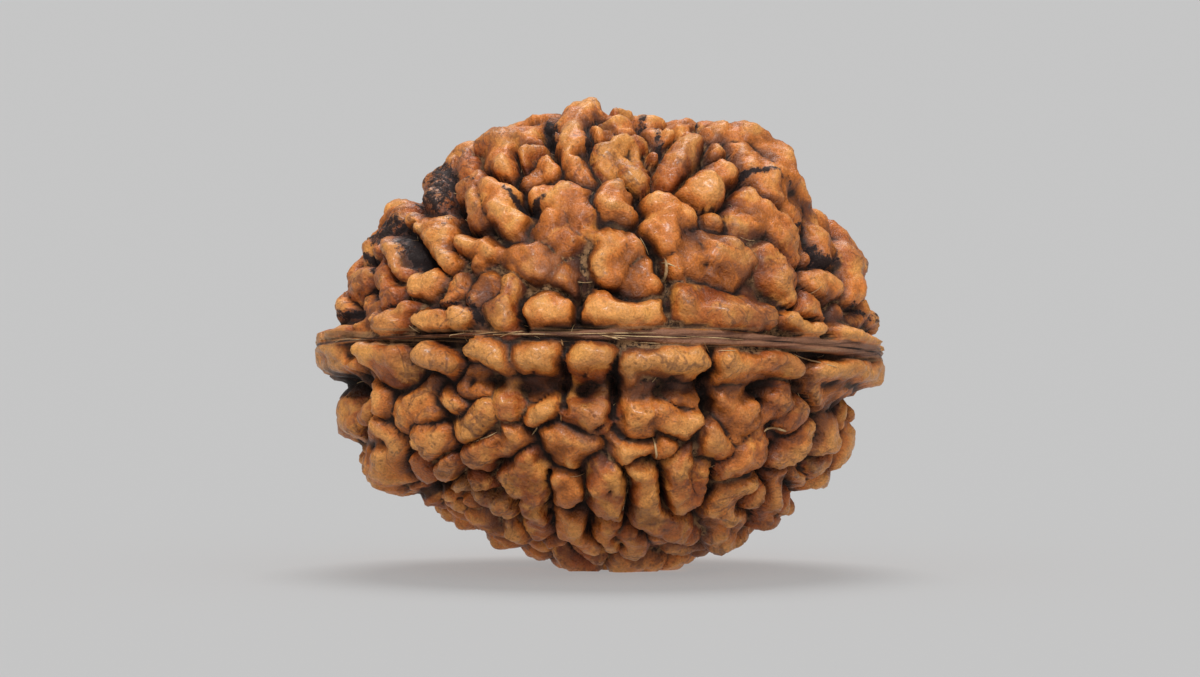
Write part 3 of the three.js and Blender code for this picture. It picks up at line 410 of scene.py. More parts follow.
def slots():  # width, depth and path of each cleft and notch
    for width, depth, *path in clefts:
        yield width, depth, [(placeSeen(x, z), 0.0, 0.0) for x, z in path]
    for x, z, width, depth in notches:
        reach = math.hypot(x, z)
        rim = [(x * math.cos(turn), reach * math.sin(turn), z * math.cos(turn)) for turn in notchTurns]
        yield width, depth, [(onFloor(point), 0.0, 0.0) for point in rim]


def growHidden(knobs):
    draws = makeDraws(hiddenSides["seed"])
    placed = [ball for chains in knobs for chain in chains for ball in chain]

    def isClear(ball):
        centres = np.array([o[0] for o in placed])
        radii = np.array([o[1] for o in placed])
        gaps = np.linalg.norm(centres - ball[0], axis=1)
        return bool((gaps > hiddenSides["clearance"] * (ball[1] + radii)).all())

    def isFree(ball):
        return abs(seamDistance(ball[0])) >= ball[1] + hiddenSides["seamGap"] and isClear(ball)

    def add(chain):
        knobs.append([chain])
        placed.extend(chain)

    for chain in footKnobs:
        add([(onFloor([x, y, -seedBody["restHeight"]]), radius, 0.0) for x, y, radius in chain])

    for side in (1, -1):  # a row of teeth above the seam and one below
        angle = toothRow["start"]
        while angle < math.pi - toothRow["start"]:
            size = 1 - (1 - toothRow["tipSize"]) * abs(math.cos(angle)) ** toothRow["tipPower"]
            radius = (toothRow["radius"] + toothRow["moreRadius"] * next(draws)) * size
            foot = onFloor([math.cos(angle), math.sin(angle), 0])
            foot[2] = -seam["slopeBack"] * foot[1] - seam["slopeRight"] * foot[0]
            foot[2] += side * (radius + toothRow["offset"] * size)
            head = foot.copy()
            head[2] += side * (toothRow["rise"] + toothRow["moreRise"] * next(draws)) * size
            sway = (next(draws) - 0.5) * toothRow["sway"]
            head += [-math.sin(angle) * sway, math.cos(angle) * sway, 0]
            step = (2 * radius + toothRow["gap"] * next(draws)) / seedBody["halfDepth"]
            chain = [(onFloor(foot), radius, 0.0), (onFloor(head), radius * toothRow["taper"], 0.0)]
            if all(isClear(ball) for ball in chain):
                add(chain)
            angle += step

    goldenAngle = math.pi * (3 - math.sqrt(5))
    for i in range(hiddenSides["tries"]):
        y = 1 - 2 * (i + 0.5) / hiddenSides["tries"]
        ring = math.sqrt(1 - y * y)
        turned = i * goldenAngle
        start = np.array([math.cos(turned) * ring, y, math.sin(turned) * ring])
        start += np.array([next(draws) - 0.5 for _ in range(3)]) * hiddenSides["jitter"]
        radius = hiddenSides["radius"] + hiddenSides["moreRadius"] * next(draws)
        turn = next(draws) * math.pi
        reach = hiddenSides["reach"] * next(draws)
        bend = (next(draws) - 0.5) * hiddenSides["bend"]
        here = onFloor(start)
        if not isFree((here, radius)):
            continue
        up = unit(here)
        east = unit(np.cross(up, [1, 0, 0] if abs(up[2]) > 0.9 else [0, 0, 1]))
        north = np.cross(up, east)
        chain = [(here, radius, 0.0)]
        for k in range(min(int(reach / hiddenSides["linkReach"]), hiddenSides["links"])):
            angle = turn + bend * k
            here = onFloor(here + (math.cos(angle) * east + math.sin(angle) * north) * hiddenSides["step"])
            ball = (here, radius * (hiddenSides["thinnest"] + hiddenSides["thicker"] * next(draws)), 0.0)
            if not isFree(ball):
                break
            chain.append(ball)
        add(chain)
    return knobs


def chainNear(points, chain):  # how far outside a chain of balls, and its radius and lift there
    outside = np.full(len(points), np.inf)
    radius = np.zeros(len(points))
    lift = np.zeros(len(points))
    for a, b in zip(chain, chain[1:] or chain):
        span = b[0] - a[0]
        t = np.clip((points - a[0]) @ span / max(span @ span, 1e-12), 0, 1)
        near = a[1] + t * (b[1] - a[1])
        gap = np.linalg.norm(points - a[0] - t[:, None] * span, axis=1) - near
        closer = gap < outside
        outside = np.where(closer, gap, outside)
        radius = np.where(closer, near, radius)
        lift = np.where(closer, a[2] + t * (b[2] - a[2]), lift)
    return outside, radius, lift


def wander(points):  # shifts the points smoothly, so that no knob is quite regular
    x, y, z = points.T
    shifts = []
    for (size, slow, fast, phase), (v, w) in zip(wanders, ((y, z), (z, x), (x, y))):
        wide = np.sin(slow * v + ripple["bend"] * np.sin(ripple["turn"] * fast * w + phase))
        narrow = np.sin(ripple["quick"] * fast * w + ripple["curl"] * np.sin(slow * v + phase))
        shifts.append(size * (wide + ripple["share"] * narrow))
    return points + np.stack(shifts, 1)


def waves(points, rows):  # three bent waves across the surface; a row is pitch, bend and the bend's pitch
    x, y, z = points.T
    total = 0
    for (pitch, bend, turn), (v, w) in zip(rows, ((x, z), (z, y), (y, x))):
        total = total + np.sin(pitch * v + bend * np.sin(turn * w))
    return total


def parting(points):  # how far knobs part where they meet, from place to place
    joint = knob["joint"] * (1 + knob["uneven"] * waves(points, jointWaves))
    return np.clip(joint, knob["leastJoint"], 1)


def ridgeHalfWidth(x, isFront):
    return seam["halfWidth"] + seam["wider"] * smooth(seam["widerFrom"], seam["widerTo"], x) * isFront


def shelfHeight(directions, fromSeam):
    atTip = smooth(seam["tipStart"], 1, np.abs(directions[:, 0]))
    narrow = 1 - seam["tipNarrow"] * atTip
    away = np.abs(fromSeam + seam["tipDrop"] * atTip)
    fall = smooth(seam["shelf"] * narrow, seam["foot"] * narrow, away)
    return (seam["lift"] + seam["tipLift"] * atTip) * (1 - fall)


def surface(directions, knobs):  # radius in each direction, and what the skin's colours need to know
    floor = floorRadius(directions)
    points = directions * floor[:, None]
    bent = wander(points)
    count = len(points)
    nearest = np.full(count, np.inf)
    neighbour = np.full(count, np.inf)
    mate = np.full(count, np.inf)
    radius = np.full(count, 0.5)
    owner = np.zeros(count)
    weights = np.full(count, 1e-9)
    heights = np.zeros(count)
    for number, chains in enumerate(knobs):
        balls = [ball for chain in chains for ball in chain]
        middle = np.mean([ball[0] for ball in balls], axis=0)
        extent = max(np.linalg.norm(ball[0] - middle) + ball[1] for ball in balls) + knob["farthest"]
        near = np.nonzero(((bent - middle) ** 2).sum(1) < extent ** 2)[0]
        if not len(near):
            continue
        best, other = np.full(len(near), np.inf), np.full(len(near), np.inf)
        bestRadius = np.zeros(len(near))
        for chain in chains:
            outside, chainRadius, chainLift = chainNear(bent[near], chain)
            fromMiddle = np.maximum(outside + chainRadius, 0) / (knob["spread"] * chainRadius)
            height = knob["rise"] * chainRadius ** knob["power"] + chainLift
            weight = np.exp(-outside / knob["blend"])
            weights[near] += weight
            heights[near] += weight * height * np.sqrt(np.maximum(0, 1 - fromMiddle ** 2))
            closer = outside < best
            other = np.where(closer, best, np.minimum(other, outside))
            bestRadius = np.where(closer, chainRadius, bestRadius)
            best = np.minimum(best, outside)
        closer = best < nearest[near]
        neighbour[near] = np.where(closer, nearest[near], np.minimum(neighbour[near], best))
        mate[near] = np.where(closer, other, mate[near])
        radius[near] = np.where(closer, bestRadius, radius[near])
        owner[near] = np.where(closer, number, owner[near])
        nearest[near] = np.minimum(nearest[near], best)

    fromSeam = seamDistance(points)
    pastRidge = np.abs(fromSeam) - ridgeHalfWidth(points[:, 0], points[:, 1] < 0)
    shoulder = knob["shoulder"] * radius
    edge = np.maximum((np.minimum(neighbour, pastRidge) - nearest) / 2 - knob["gap"], 0)
    joint = parting(points)
    side = 1 - joint * (1 - dome(edge / shoulder))
    crease = 1 - knob["crease"] * (1 - dome((mate - nearest) / 2 / shoulder))
    height = heights / weights * side * crease
    height -= knob["crack"] * joint ** 2 * np.exp(-(edge / knob["crackWidth"]) ** 2)

    onRidge = 1 - smooth(-seam["rim"], 0, pastRidge)
    ridge = seam["ridge"] - seam["crack"] * np.exp(-(fromSeam / seam["crackWidth"]) ** 2)
    height += (ridge - height) * onRidge
    sunk = np.zeros(count)
    for x, z, size, depth in hollows:
        sunk += depth * np.exp(-((bent - placeSeen(x, z)) ** 2).sum(1) / size ** 2)
    for width, depth, path in slots():
        far, _, _ = chainNear(bent, path)
        sunk += depth * np.exp(-(far / width) ** 2) * (1 - onRidge)
    out = floor + height * (1 + swell * waves(bent, swellWaves)) + shelfHeight(directions, fromSeam) - sunk
    down = -directions[:, 2]
    flat = np.where(down > 0, seedBody["restHeight"] / np.maximum(down, 1e-6), np.inf)
    return np.minimum(out, flat), {"band": onRidge, "sunk": sunk, "owner": owner, "point": points}


def ballDirections(squares):  # a cube's faces blown out to a ball, with its middle line in the seam's plane
    ticks = np.tan((np.arange(squares + 1) * 2 / squares - 1) * math.pi / 4)
    u, v = (grid.ravel() for grid in np.meshgrid(ticks, ticks, indexing="ij"))
    points, quads = [], []
    row = squares + 1
    corner = (np.arange(squares)[:, None] * row + np.arange(squares)).ravel()
    for axis in range(3):
        for side in (1, -1):
            face = np.zeros((len(u), 3))
            face[:, axis] = side
            face[:, (axis + 1) % 3] = u
            face[:, (axis + 2) % 3] = v
            loop = [corner, corner + row, corner + row + 1, corner + 1]
            quads.append(np.stack(loop[::side], 1) + len(u) * len(points))
            points.append(face)
    points, quads = np.concatenate(points), np.concatenate(quads)
    _, first, index = np.unique(points.round(7), axis=0, return_index=True, return_inverse=True)
    points, quads = unit(points[first]), index.ravel()[quads]
    turn = Vector((0, 0, 1)).rotation_difference((seam["slopeRight"], seam["slopeBack"], 1)).to_matrix()
    return points @ np.array(turn).T, quads


print("working out the seed's form")
knobs = growHidden(seenKnobs())
directions, quads = ballDirections(seedBody["squaresPerSide"])
radii, skinFacts = surface(directions, knobs)
seedPoints = directions * radii[:, None]
boxMiddle = (seedPoints.min(0) + seedPoints.max(0)) / 2
cadMiddle = np.mean([list(corner) for corner in cadBox], axis=0) / mm
seedCentre = np.array([*(cadMiddle - boxMiddle)[:2], seedBody["restHeight"]])
seamUp = unit(np.array([seam["slopeRight"], seam["slopeBack"], 1.0]))
print("the seed has", len(knobs), "knobs and", len(seedPoints), "points")


# Shader and geometry nodes as Python expressions

class Wire:  # a node's output, which sums and products can be written with
    def __init__(self, graph, socket):
        self.graph = graph
        self.socket = socket

    def __add__(self, other):
        return self.graph.sum("ADD", self, other)

    def __sub__(self, other):
        return self.graph.sum("SUBTRACT", self, other)

    def __mul__(self, other):
        return self.graph.sum("MULTIPLY", self, other)

    def __truediv__(self, other):
        return self.graph.sum("DIVIDE", self, other)

    def __rsub__(self, other):
        return self.graph.sum("SUBTRACT", other, self)

    def __pow__(self, other):
        return self.graph.sum("POWER", self, other)

    __radd__ = __add__
    __rmul__ = __mul__


class Graph:  # a node tree, with one way to add a node to it
    def __init__(self, tree):
        self.tree = tree

    def node(self, kind, settings=None, inputs=None, output=0):
        made = self.tree.nodes.new(kind)
        for name, value in (settings or {}).items():
            if name == "stops":
                ramp = made.color_ramp
                while len(ramp.elements) < len(value):
                    ramp.elements.new(0.5)
                for element, (place, colour) in zip(ramp.elements, value):
                    element.position = place
                    element.color = colour
            else:
                setattr(made, name, value)
        for name, value in (inputs or {}).items():
            socket = made.inputs[name]
            if isinstance(value, Wire):
                self.tree.links.new(value.socket, socket)
            else:
                socket.default_value = value
        return Wire(self, made.outputs[output]) if len(made.outputs) else made

    def sum(self, operation, *values):
        return self.node("ShaderNodeMath", {"operation": operation}, dict(enumerate(values)))

    def range(self, value, low, high, start=0.0, end=1.0):
        places = {"Value": value, "From Min": low, "From Max": high, "To Min": start, "To Max": end}
        return self.node("ShaderNodeMapRange", {"interpolation_type": "SMOOTHSTEP"}, places)

    def mix(self, factor, a, b, blend="MIX"):
        settings = {"data_type": "RGBA", "blend_type": blend, "clamp_factor": True}
        return self.node("ShaderNodeMix", settings, {0: factor, 6: a, 7: b}, 2)

    def noise(self, place, scale, detail=2.0, roughness=0.5, distortion=0.0):
        values = {"Vector": place, "Scale": scale, "Detail": detail, "Roughness": roughness,
                  "Distortion": distortion}
        return self.node("ShaderNodeTexNoise", None, values)

    def fact(self, name):  # a number kept on the points, as the kind of tree reads it
        if self.tree.type == "GEOMETRY":
            return self.node("GeometryNodeInputNamedAttribute", {"data_type": "FLOAT"}, {"Name": name})
        return self.node("ShaderNodeAttribute", {"attribute_name": name}, None, 2)

    def finishMaterial(self, values):
        shader = self.node("ShaderNodeBsdfPrincipled", None, values)
        self.node("ShaderNodeOutputMaterial", None, {"Surface": shader})

    def vector(self, operation, a, b, output=0):
        return self.node("ShaderNodeVectorMath", {"operation": operation}, {0: a, 1: b}, output)

    def scaled(self, vector, factor):
        return self.node("ShaderNodeVectorMath", {"operation": "SCALE"}, {0: vector, "Scale": factor})

    def draw(self, low, high, seed):  # a random number for each instance
        ends = {2: low, 3: high, "Seed": seed}
        return self.node("FunctionNodeRandomValue", {"data_type": "FLOAT"}, ends, 1)

    def tube(self, curve, sides, radius, scale=1.0):
        sizes = {"Resolution": sides, "Radius": radius}
        ring = self.node("GeometryNodeCurvePrimitiveCircle", {"mode": "RADIUS"}, sizes)
        sweep = {"Curve": curve, "Profile Curve": ring, "Scale": scale, "Fill Caps": True}
        return self.node("GeometryNodeCurveToMesh", None, sweep)


def linear(red, green, blue):  # a colour as it is seen on screen, out of 255
    def one(value):
        value /= 255
        return value / 12.92 if value <= 0.04045 else ((value + 0.055) / 1.055) ** 2.4
    return (one(red), one(green), one(blue), 1.0)


def newMaterial(name):
    material = bpy.data.materials.new(name)
    material.use_nodes = True
    material.node_tree.nodes.clear()
    return material, Graph(material.node_tree)


# What is drawn on the skin

marks = {
    # dark stains, as strokes seen from the front: [x, z, x, z, half width]
    "stains": [
        [-3.96, 8.74, -3.1, 8.54, 0.08], [-2, 9.1, -1.7, 8.3, 0.22], [-0.45, 8, -0.2, 7.6, 0.15],
        [-5.7, 6.8, -6.2, 5.8, 0.3], [-5.5, 5.5, -5.7, 4.7, 0.11], [-7.2, 6, -6.6, 5.7, 0.22],
        [-7.9, 5.7, -8.2, 4.5, 0.23], [-7.8, 5.1, -6.9, 3.5, 0.36], [-8.6, 4.6, -8.4, 4.3, 0.25],
        [-8.7, 3.6, -8.45, 3.1, 0.14], [-9.9, 1.25, -9.1, 1.5, 0.14], [-3.4, 6, -2.6, 5.3, 0.1],
        [-2.5, 5.3, -2, 5.6, 0.15], [-4.9, 6.55, -4.55, 6.35, 0.08], [-6.2, 1.7, -5.2, 1.85, 0.07],
        [-7.7, 1.7, -7.3, 1.7, 0.07], [-4.6, 1.9, -4.3, 1.2, 0.12], [-7.3, 6.6, -7, 6.4, 0.09],
        [1.6, 9.4, 1.7, 8.6, 0.14], [1.9, 8.8, 2.6, 9.1, 0.12], [2.1, 8.4, 2.4, 7.7, 0.14],
        [5.3, 6.75, 6, 6.6, 0.08], [6, 6.6, 7, 6, 0.06], [7.5, 4.8, 8.1, 3.9, 0.09],
        [8.1, 3.95, 8.8, 3.35, 0.17], [8.2, 3.5, 9, 3.5, 0.12], [9.1, 5, 9.35, 4.2, 0.07],
        [9.8, 2.5, 9.9, 2.1, 0.09], [9.95, 3.3, 10.05, 3.2, 0.06], [10.5, 2.8, 10.6, 2.3, 0.08],
        [9.5, 1.8, 10.4, 0.8, 0.08], [10.1, 1.35, 10.45, 1.5, 0.06], [8, 7, 8.1, 6.5, 0.07],
        [3.7, 8.9, 3.75, 8.5, 0.06], [-3.95, -4.7, -3.8, -4.5, 0.1], [10.8, -0.3, 11, -0.3, 0.12],
    ],
}


def markStrength(points, strokes, softness=0.8):  # 1 inside any of the strokes, fading past its edge
    tilt = math.radians(seedBody["viewTilt"])
    flat = np.stack([points[:, 0], points[:, 2] * math.cos(tilt) + points[:, 1] * math.sin(tilt)], axis=1)
    strength = np.zeros(len(points))
    for x, z, endX, endZ, width in strokes:
        start, run = np.array([x, z]), np.array([endX - x, endZ - z])
        along = np.clip((flat - start) @ run / (run @ run), 0, 1)
        far = np.linalg.norm(flat - start - along[:, None] * run, axis=1) / width
        strength = np.maximum(strength, 1 - smooth(1 - softness, 1 + softness, far))
    return strength * (points[:, 1] < 0)


def knobTone(owner):  # a lasting random shade for each knob, between 0 and 1
    return np.modf(np.abs(np.sin(owner * 12.9898 + 4.1) * 43758.5453))[0]


def evenOut(values, rounds):  # the values blurred along the seed's edges
    a, b = quads.ravel(), np.roll(quads, 1, axis=1).ravel()
    shares = np.bincount(a) + np.bincount(b)
    for _ in range(rounds):
        values = (np.bincount(a, values[b]) + np.bincount(b, values[a])) / shares
    return values


scales = {  # rounds of evening out, and the heights in millimetres that count as full
    "cavityRounds": 45,
    "cavityHeight": 0.75,
    "creaseRounds": 5,
    "creaseHeight": 0.09,
    "deepest": 0.55,
}
cavity = 0.5 + (radii - evenOut(radii, scales["cavityRounds"])) / scales["cavityHeight"]
facts = {
    "cavity": np.clip(cavity, 0, 1),  # 0 in the grooves, 1 on the tops
    "crease": np.clip(-(radii - evenOut(radii, scales["creaseRounds"])) / scales["creaseHeight"], 0, 1),
    "deep": np.clip(skinFacts["sunk"] / scales["deepest"], 0, 1),
    "tone": knobTone(skinFacts["owner"]),
    "band": skinFacts["band"],
    "stain": markStrength(skinFacts["point"], marks["stains"]),
}


noises = {  # cells to the metre, detail, roughness and distortion
    "patches": [230, 3.0, 0.55],
    "mottle": [800, 4.0, 0.62, 0.5],
    "grain": [3600, 3.0, 0.7],
    "fine": [11000, 2.0, 0.6],
    "veins": [420, 3.0, 0.6, 1.5],
    "tint": [380, 3.0, 0.65, 0.6],
    "dust": [330, 2.0],
    "streak": [700, 4.0, 0.65],
    "straw": [1500, 3.0, 0.6],
}
finish = {
    "poreScale": 3000.0,     # cells to the metre
    "roughness": 0.42,
    "specular": 0.38,
    "coat": 0.26,            # on the knobs' tops
    "coatInGrooves": 0.03,
    "coatRoughness": 0.2,
    "bump": 0.8,
    "bumpHeight": 0.00012,   # metres
}


def buildSkin():
    look = {
        "groove": linear(24, 12, 5),
        "slope": linear(96, 47, 17),
        "dull": linear(158, 88, 32),
        "flesh": linear(211, 122, 50),
        "top": linear(232, 158, 82),
        "red": linear(146, 66, 25),
        "yellow": linear(234, 165, 80),
        "purple": linear(92, 55, 42),
        "dust": linear(176, 134, 92),
        "stain": linear(30, 21, 22),
        "plate": linear(156, 110, 84),
        "plate dark": linear(112, 74, 56),
        "straw": linear(204, 164, 112),
    }
    material, g = newMaterial("seed_skin")
    place = g.node("ShaderNodeTexCoord", None, None, 3)
    cavity, tone, band = g.fact("cavity"), g.fact("tone"), g.fact("band")
    crease, deep, stain = g.fact("crease"), g.fact("deep"), g.fact("stain")

    patches, mottle, grain, fine = (
        g.noise(place, *noises[name]) for name in ("patches", "mottle", "grain", "fine"))
    cells = {"Vector": place, "Scale": finish["poreScale"]}
    pores = g.node("ShaderNodeTexVoronoi", {"feature": "F1"}, cells)

    # the flesh: darker and redder down the sides, lighter on the tops; the dark sides are painted shade and
    # the light tops are painted light
    lit = cavity + (mottle - 0.5) * 1.1 + (patches - 0.5) * 0.5
    # the slope colour is painted shade on the knobs' sides, the top colour painted light on their tops
    stops = [(0.16, look["slope"]), (0.42, look["dull"]), (0.63, look["flesh"]), (0.9, look["top"])]
    colour = g.node("ShaderNodeValToRGB", {"stops": stops}, {"Fac": lit})
    colour = g.mix(g.range(patches + (tone - 0.5) * 0.5, 0.5, 0.72, 0, 0.6), colour, look["red"])
    colour = g.mix(g.range(mottle + (tone - 0.5) * 0.3, 0.55, 0.75, 0, 0.5), colour, look["yellow"])
    shade = tone * 0.16 + grain * 0.95 + fine * 1.05
    grey = g.node("ShaderNodeCombineColor", None, {"Red": shade, "Green": shade, "Blue": shade})
    colour = g.mix(1.0, colour, grey, "MULTIPLY")
    speck = g.range(pores, 0.08, 0.3, 1, 0) * g.range(patches, 0.42, 0.58)
    colour = g.mix(speck * 0.45, colour, look["slope"])
    veins = g.sum("ABSOLUTE", g.noise(place, *noises["veins"]) - 0.5)
    vein = g.range(veins, 0.0, 0.05, 1, 0) * g.range(patches + (grain - 0.5) * 0.8, 0.46, 0.62)
    colour = g.mix(vein * 0.6, colour, look["purple"])
    tint = g.range(g.noise(place, *noises["tint"]), 0.51, 0.63) * g.range(cavity, 0.5, 0.85, 1, 0.25)
    colour = g.mix(tint * 0.65, colour, look["purple"])

    # grooves, dark with painted shade or dusty from place to place; the dust is the seed's own, the dark is
    # painted shade in the grooves and creases
    low = g.range(cavity + (mottle - 0.5) * 0.35, 0.0, 0.38, 1, 0)
    colour = g.mix(low * 0.75, colour, look["groove"])
    dusty = g.range(g.noise(place, *noises["dust"]), 0.5, 0.64) * (1 - deep)
    floor = g.mix(dusty * g.range(grain, 0.38, 0.6), look["groove"], look["dust"])
    colour = g.mix(g.range(crease + (grain - 0.5) * 0.4, 0.45, 1.0) * 0.85, colour, floor)
    # painted shade in the deep slots and hollows
    colour = g.mix(g.range(deep + (grain - 0.5) * 0.3, 0.6, 1.0) * 0.85, colour, look["groove"])

    # the seam: a streaked plate, with a fine dark line along its middle, which is painted shade in the
    # seam's crack
    across = g.vector("DOT_PRODUCT", place, tuple(seamUp), 1)
    away = g.sum("ABSOLUTE", (across - float(seamUp @ seedCentre) * mm) / mm)
    streak = g.noise(g.vector("MULTIPLY", place, (0.2, 0.2, 9.0)), *noises["streak"])
    plate = g.mix(g.range(streak, 0.4, 0.5), look["plate dark"], look["plate"])
    plate = g.mix(g.range(streak, 0.62, 0.72) * 0.6, plate, look["straw"])
    # painted shade along the seam's crack
    plate = g.mix(g.range(away, 0.02, 0.06, 1, 0) * g.range(streak, 0.4, 0.55), plate, look["groove"])
    colour = g.mix(g.range(band, 0.3, 0.8) * 0.92, colour, plate)
    beside = g.range(away, 0.25, 0.6, 1, 0) * g.range(streak, 0.5, 0.6) * (1 - band)
    colour = g.mix(beside * 0.6, colour, look["dust"])

    # stains, with a purple rim
    broken = (mottle - 0.5) * 2.6 + (grain - 0.5) * 2.6 + (fine - 0.5) * 1.2
    blot = stain + broken * g.range(stain, 0.0, 0.3, 0.5) - (cavity - 0.3) * 0.65
    colour = g.mix(g.range(blot, 0.2, 0.5) * 0.6, colour, look["purple"])
    black = g.range(blot, 0.4, 0.8) * 0.95
    colour = g.mix(black, colour, look["stain"])

    gloss = finish["roughness"] + (mottle - 0.5) * 0.3 + (grain - 0.5) * 0.3
    gloss = gloss + low * 0.25 + crease * 0.2 + band * 0.2 + black * 0.25
    relief = grain * 0.7 + fine * 0.5 + mottle * 1.2 - speck * 0.3 + streak * band * 1.5
    bumps = {"Strength": finish["bump"], "Distance": finish["bumpHeight"], "Height": relief}
    coat = g.range(cavity, 0.35, 0.8, finish["coatInGrooves"], finish["coat"]) * (1 - black)
    values = {"Base Color": colour, "Roughness": gloss, "Normal": g.node("ShaderNodeBump", None, bumps),
              "Specular IOR Level": finish["specular"], "Coat Weight": coat,
              "Coat Roughness": finish["coatRoughness"]}
    g.finishMaterial(values)
    return material


strawLook = {"shaded": linear(150, 108, 66), "pale": linear(222, 190, 140), "roughness": 0.6}


def buildStraw():
    material, g = newMaterial("straw_fibre")
    place = g.node("ShaderNodeTexCoord", None, None, 3)
    shade = g.noise(place, *noises["straw"])
    colour = g.mix(g.range(shade, 0.35, 0.65), strawLook["shaded"], strawLook["pale"])
    values = {"Base Color": colour, "Roughness": strawLook["roughness"] + (shade - 0.5) * 0.3}
    g.finishMaterial(values)
    return material


skin = buildSkin()
straw = buildStraw()
print("skin and straw are ready")


# The seed, finished by a tree that wrinkles its skin

wrinkles = {
    "Wrinkle depth": 0.3,    # of the noise's full swing, of which most places see a third
    "Wrinkle pitch": 1.1,
    "Furrow depth": 0.07,    # fine furrows across the knobs
    "Furrow pitch": 1.4,
    "Pit depth": 0.055,
    "Pit pitch": 0.42,
}


def newTree(name, sizes):
    tree = bpy.data.node_groups.new(name, "GeometryNodeTree")
    tree.interface.new_socket("Geometry", in_out="INPUT", socket_type="NodeSocketGeometry")
    for label, value in sizes.items():
        kind = "NodeSocketInt" if isinstance(value, int) else "NodeSocketFloat"
        tree.interface.new_socket(label, in_out="INPUT", socket_type=kind).default_value = value
    tree.interface.new_socket("Geometry", in_out="OUTPUT", socket_type="NodeSocketGeometry")
    g = Graph(tree)
    source = tree.nodes.new("NodeGroupInput")
    return tree, g, {socket.name: Wire(g, socket) for socket in source.outputs if socket.name}


def endTree(g, geometry, material):
    real = g.node("GeometryNodeRealizeInstances", None, {0: geometry})
    dressed = g.node("GeometryNodeSetMaterial", None, {0: real, "Material": material})
    g.node("NodeGroupOutput", None, {0: dressed})


def wrinkleTree():
    sizes = {name: size * mm for name, size in wrinkles.items()}
    tree, g, ask = newTree("Seed skin wrinkles", sizes)
    place = g.node("GeometryNodeInputPosition")
    normal = g.node("GeometryNodeInputNormal")
    cavity, band = g.fact("cavity"), g.fact("band")
    fold = g.noise(place, ask["Wrinkle pitch"] ** -1.0, 2.0, 0.45, 0.5)
    furrow = g.sum("ABSOLUTE", g.noise(place, ask["Furrow pitch"] ** -1.0, 2.0, 0.5, 1.2) - 0.5)
    pit = g.noise(place, ask["Pit pitch"] ** -1.0, 2.0, 0.5)
    rise = (fold - 0.5) * ask["Wrinkle depth"] * 2
    rise = rise - g.range(furrow, 0.0, 0.05, 1, 0) * ask["Furrow depth"]
    rise = rise - g.range(pit, 0.56, 0.72) * ask["Pit depth"]
    rise = rise * g.range(cavity, 0.1, 0.5, 0.4, 1) * (1 - band * 0.8)
    moves = {0: ask["Geometry"], "Offset": g.scaled(normal, rise)}
    moved = g.node("GeometryNodeSetPosition", None, moves)
    endTree(g, moved, skin)
    return tree, sizes


def grow(piece, tree, sizes):  # puts the tree on the piece, with its sizes set by the sockets' identifiers
    modifier = piece.modifiers.new("grow", "NODES")
    modifier.node_group = tree
    for item in tree.interface.items_tree:
        if item.in_out == "INPUT" and item.name in sizes:
            modifier[item.identifier] = sizes[item.name]


def plainMesh(piece):  # the piece as its modifiers leave it, with the modifiers gone
    seen = bpy.context.evaluated_depsgraph_get()
    result = bpy.data.meshes.new_from_object(piece.evaluated_get(seen), preserve_all_data_layers=True,
                                             depsgraph=seen)
    result.name = piece.name
    piece.modifiers.clear()
    piece.data = result
    return result


def addObject(name, data):
    made = bpy.data.objects.new(name, data)
    bpy.context.collection.objects.link(made)
    return made


def addPiece(name, points, faces=(), edges=()):  # a plain mesh, at the origin
    mesh = bpy.data.meshes.new(name)
    mesh.from_pydata(points, edges, faces)
    return addObject(name, mesh)


def keepInside(points, ease=0.25):  # eases whatever passes the box back to just inside it
    low, high = (np.array(corner) / mm for corner in cadBox)
    for axis in range(3):
        for sign, limit in ((1, high[axis]), (-1, -low[axis])):
            past = points[:, axis] * sign - (limit - ease)
            over = past > 0
            points[over, axis] = sign * (limit - ease + ease * np.tanh(past[over] / ease))
    return points


def buildSeed():
    points = seedPoints + seedCentre
    seed = addPiece("seed_skin_fine", (points * mm).tolist(), quads.tolist())
    for name, values in facts.items():
        seed.data.attributes.new(name, "FLOAT", "POINT").data.foreach_set("value", values.astype(np.float32))
    grow(seed, *wrinkleTree())
    mesh = plainMesh(seed)
    done = np.empty(len(mesh.vertices) * 3, np.float32)
    mesh.vertices.foreach_get("co", done)
    done = done.reshape(-1, 3).astype(float) / mm
    flat = points[:, 2] < 1e-3
    done = keepInside(done)
    done[flat, 2] = 0
    done[:, 2] = np.maximum(done[:, 2], 0)
    mesh.vertices.foreach_set("co", (done * mm).astype(np.float32).ravel())
    mesh.polygons.foreach_set("use_smooth", np.ones(len(mesh.polygons), bool))
    mesh.update()
    return seed


seed = buildSeed()
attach(seed, "root")
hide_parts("seed")
print("seed built with", len(seed.data.polygons) * 2, "triangles")


# Straw left on the seed: fibres laid along listed paths where the front shows them, and short hairs all over

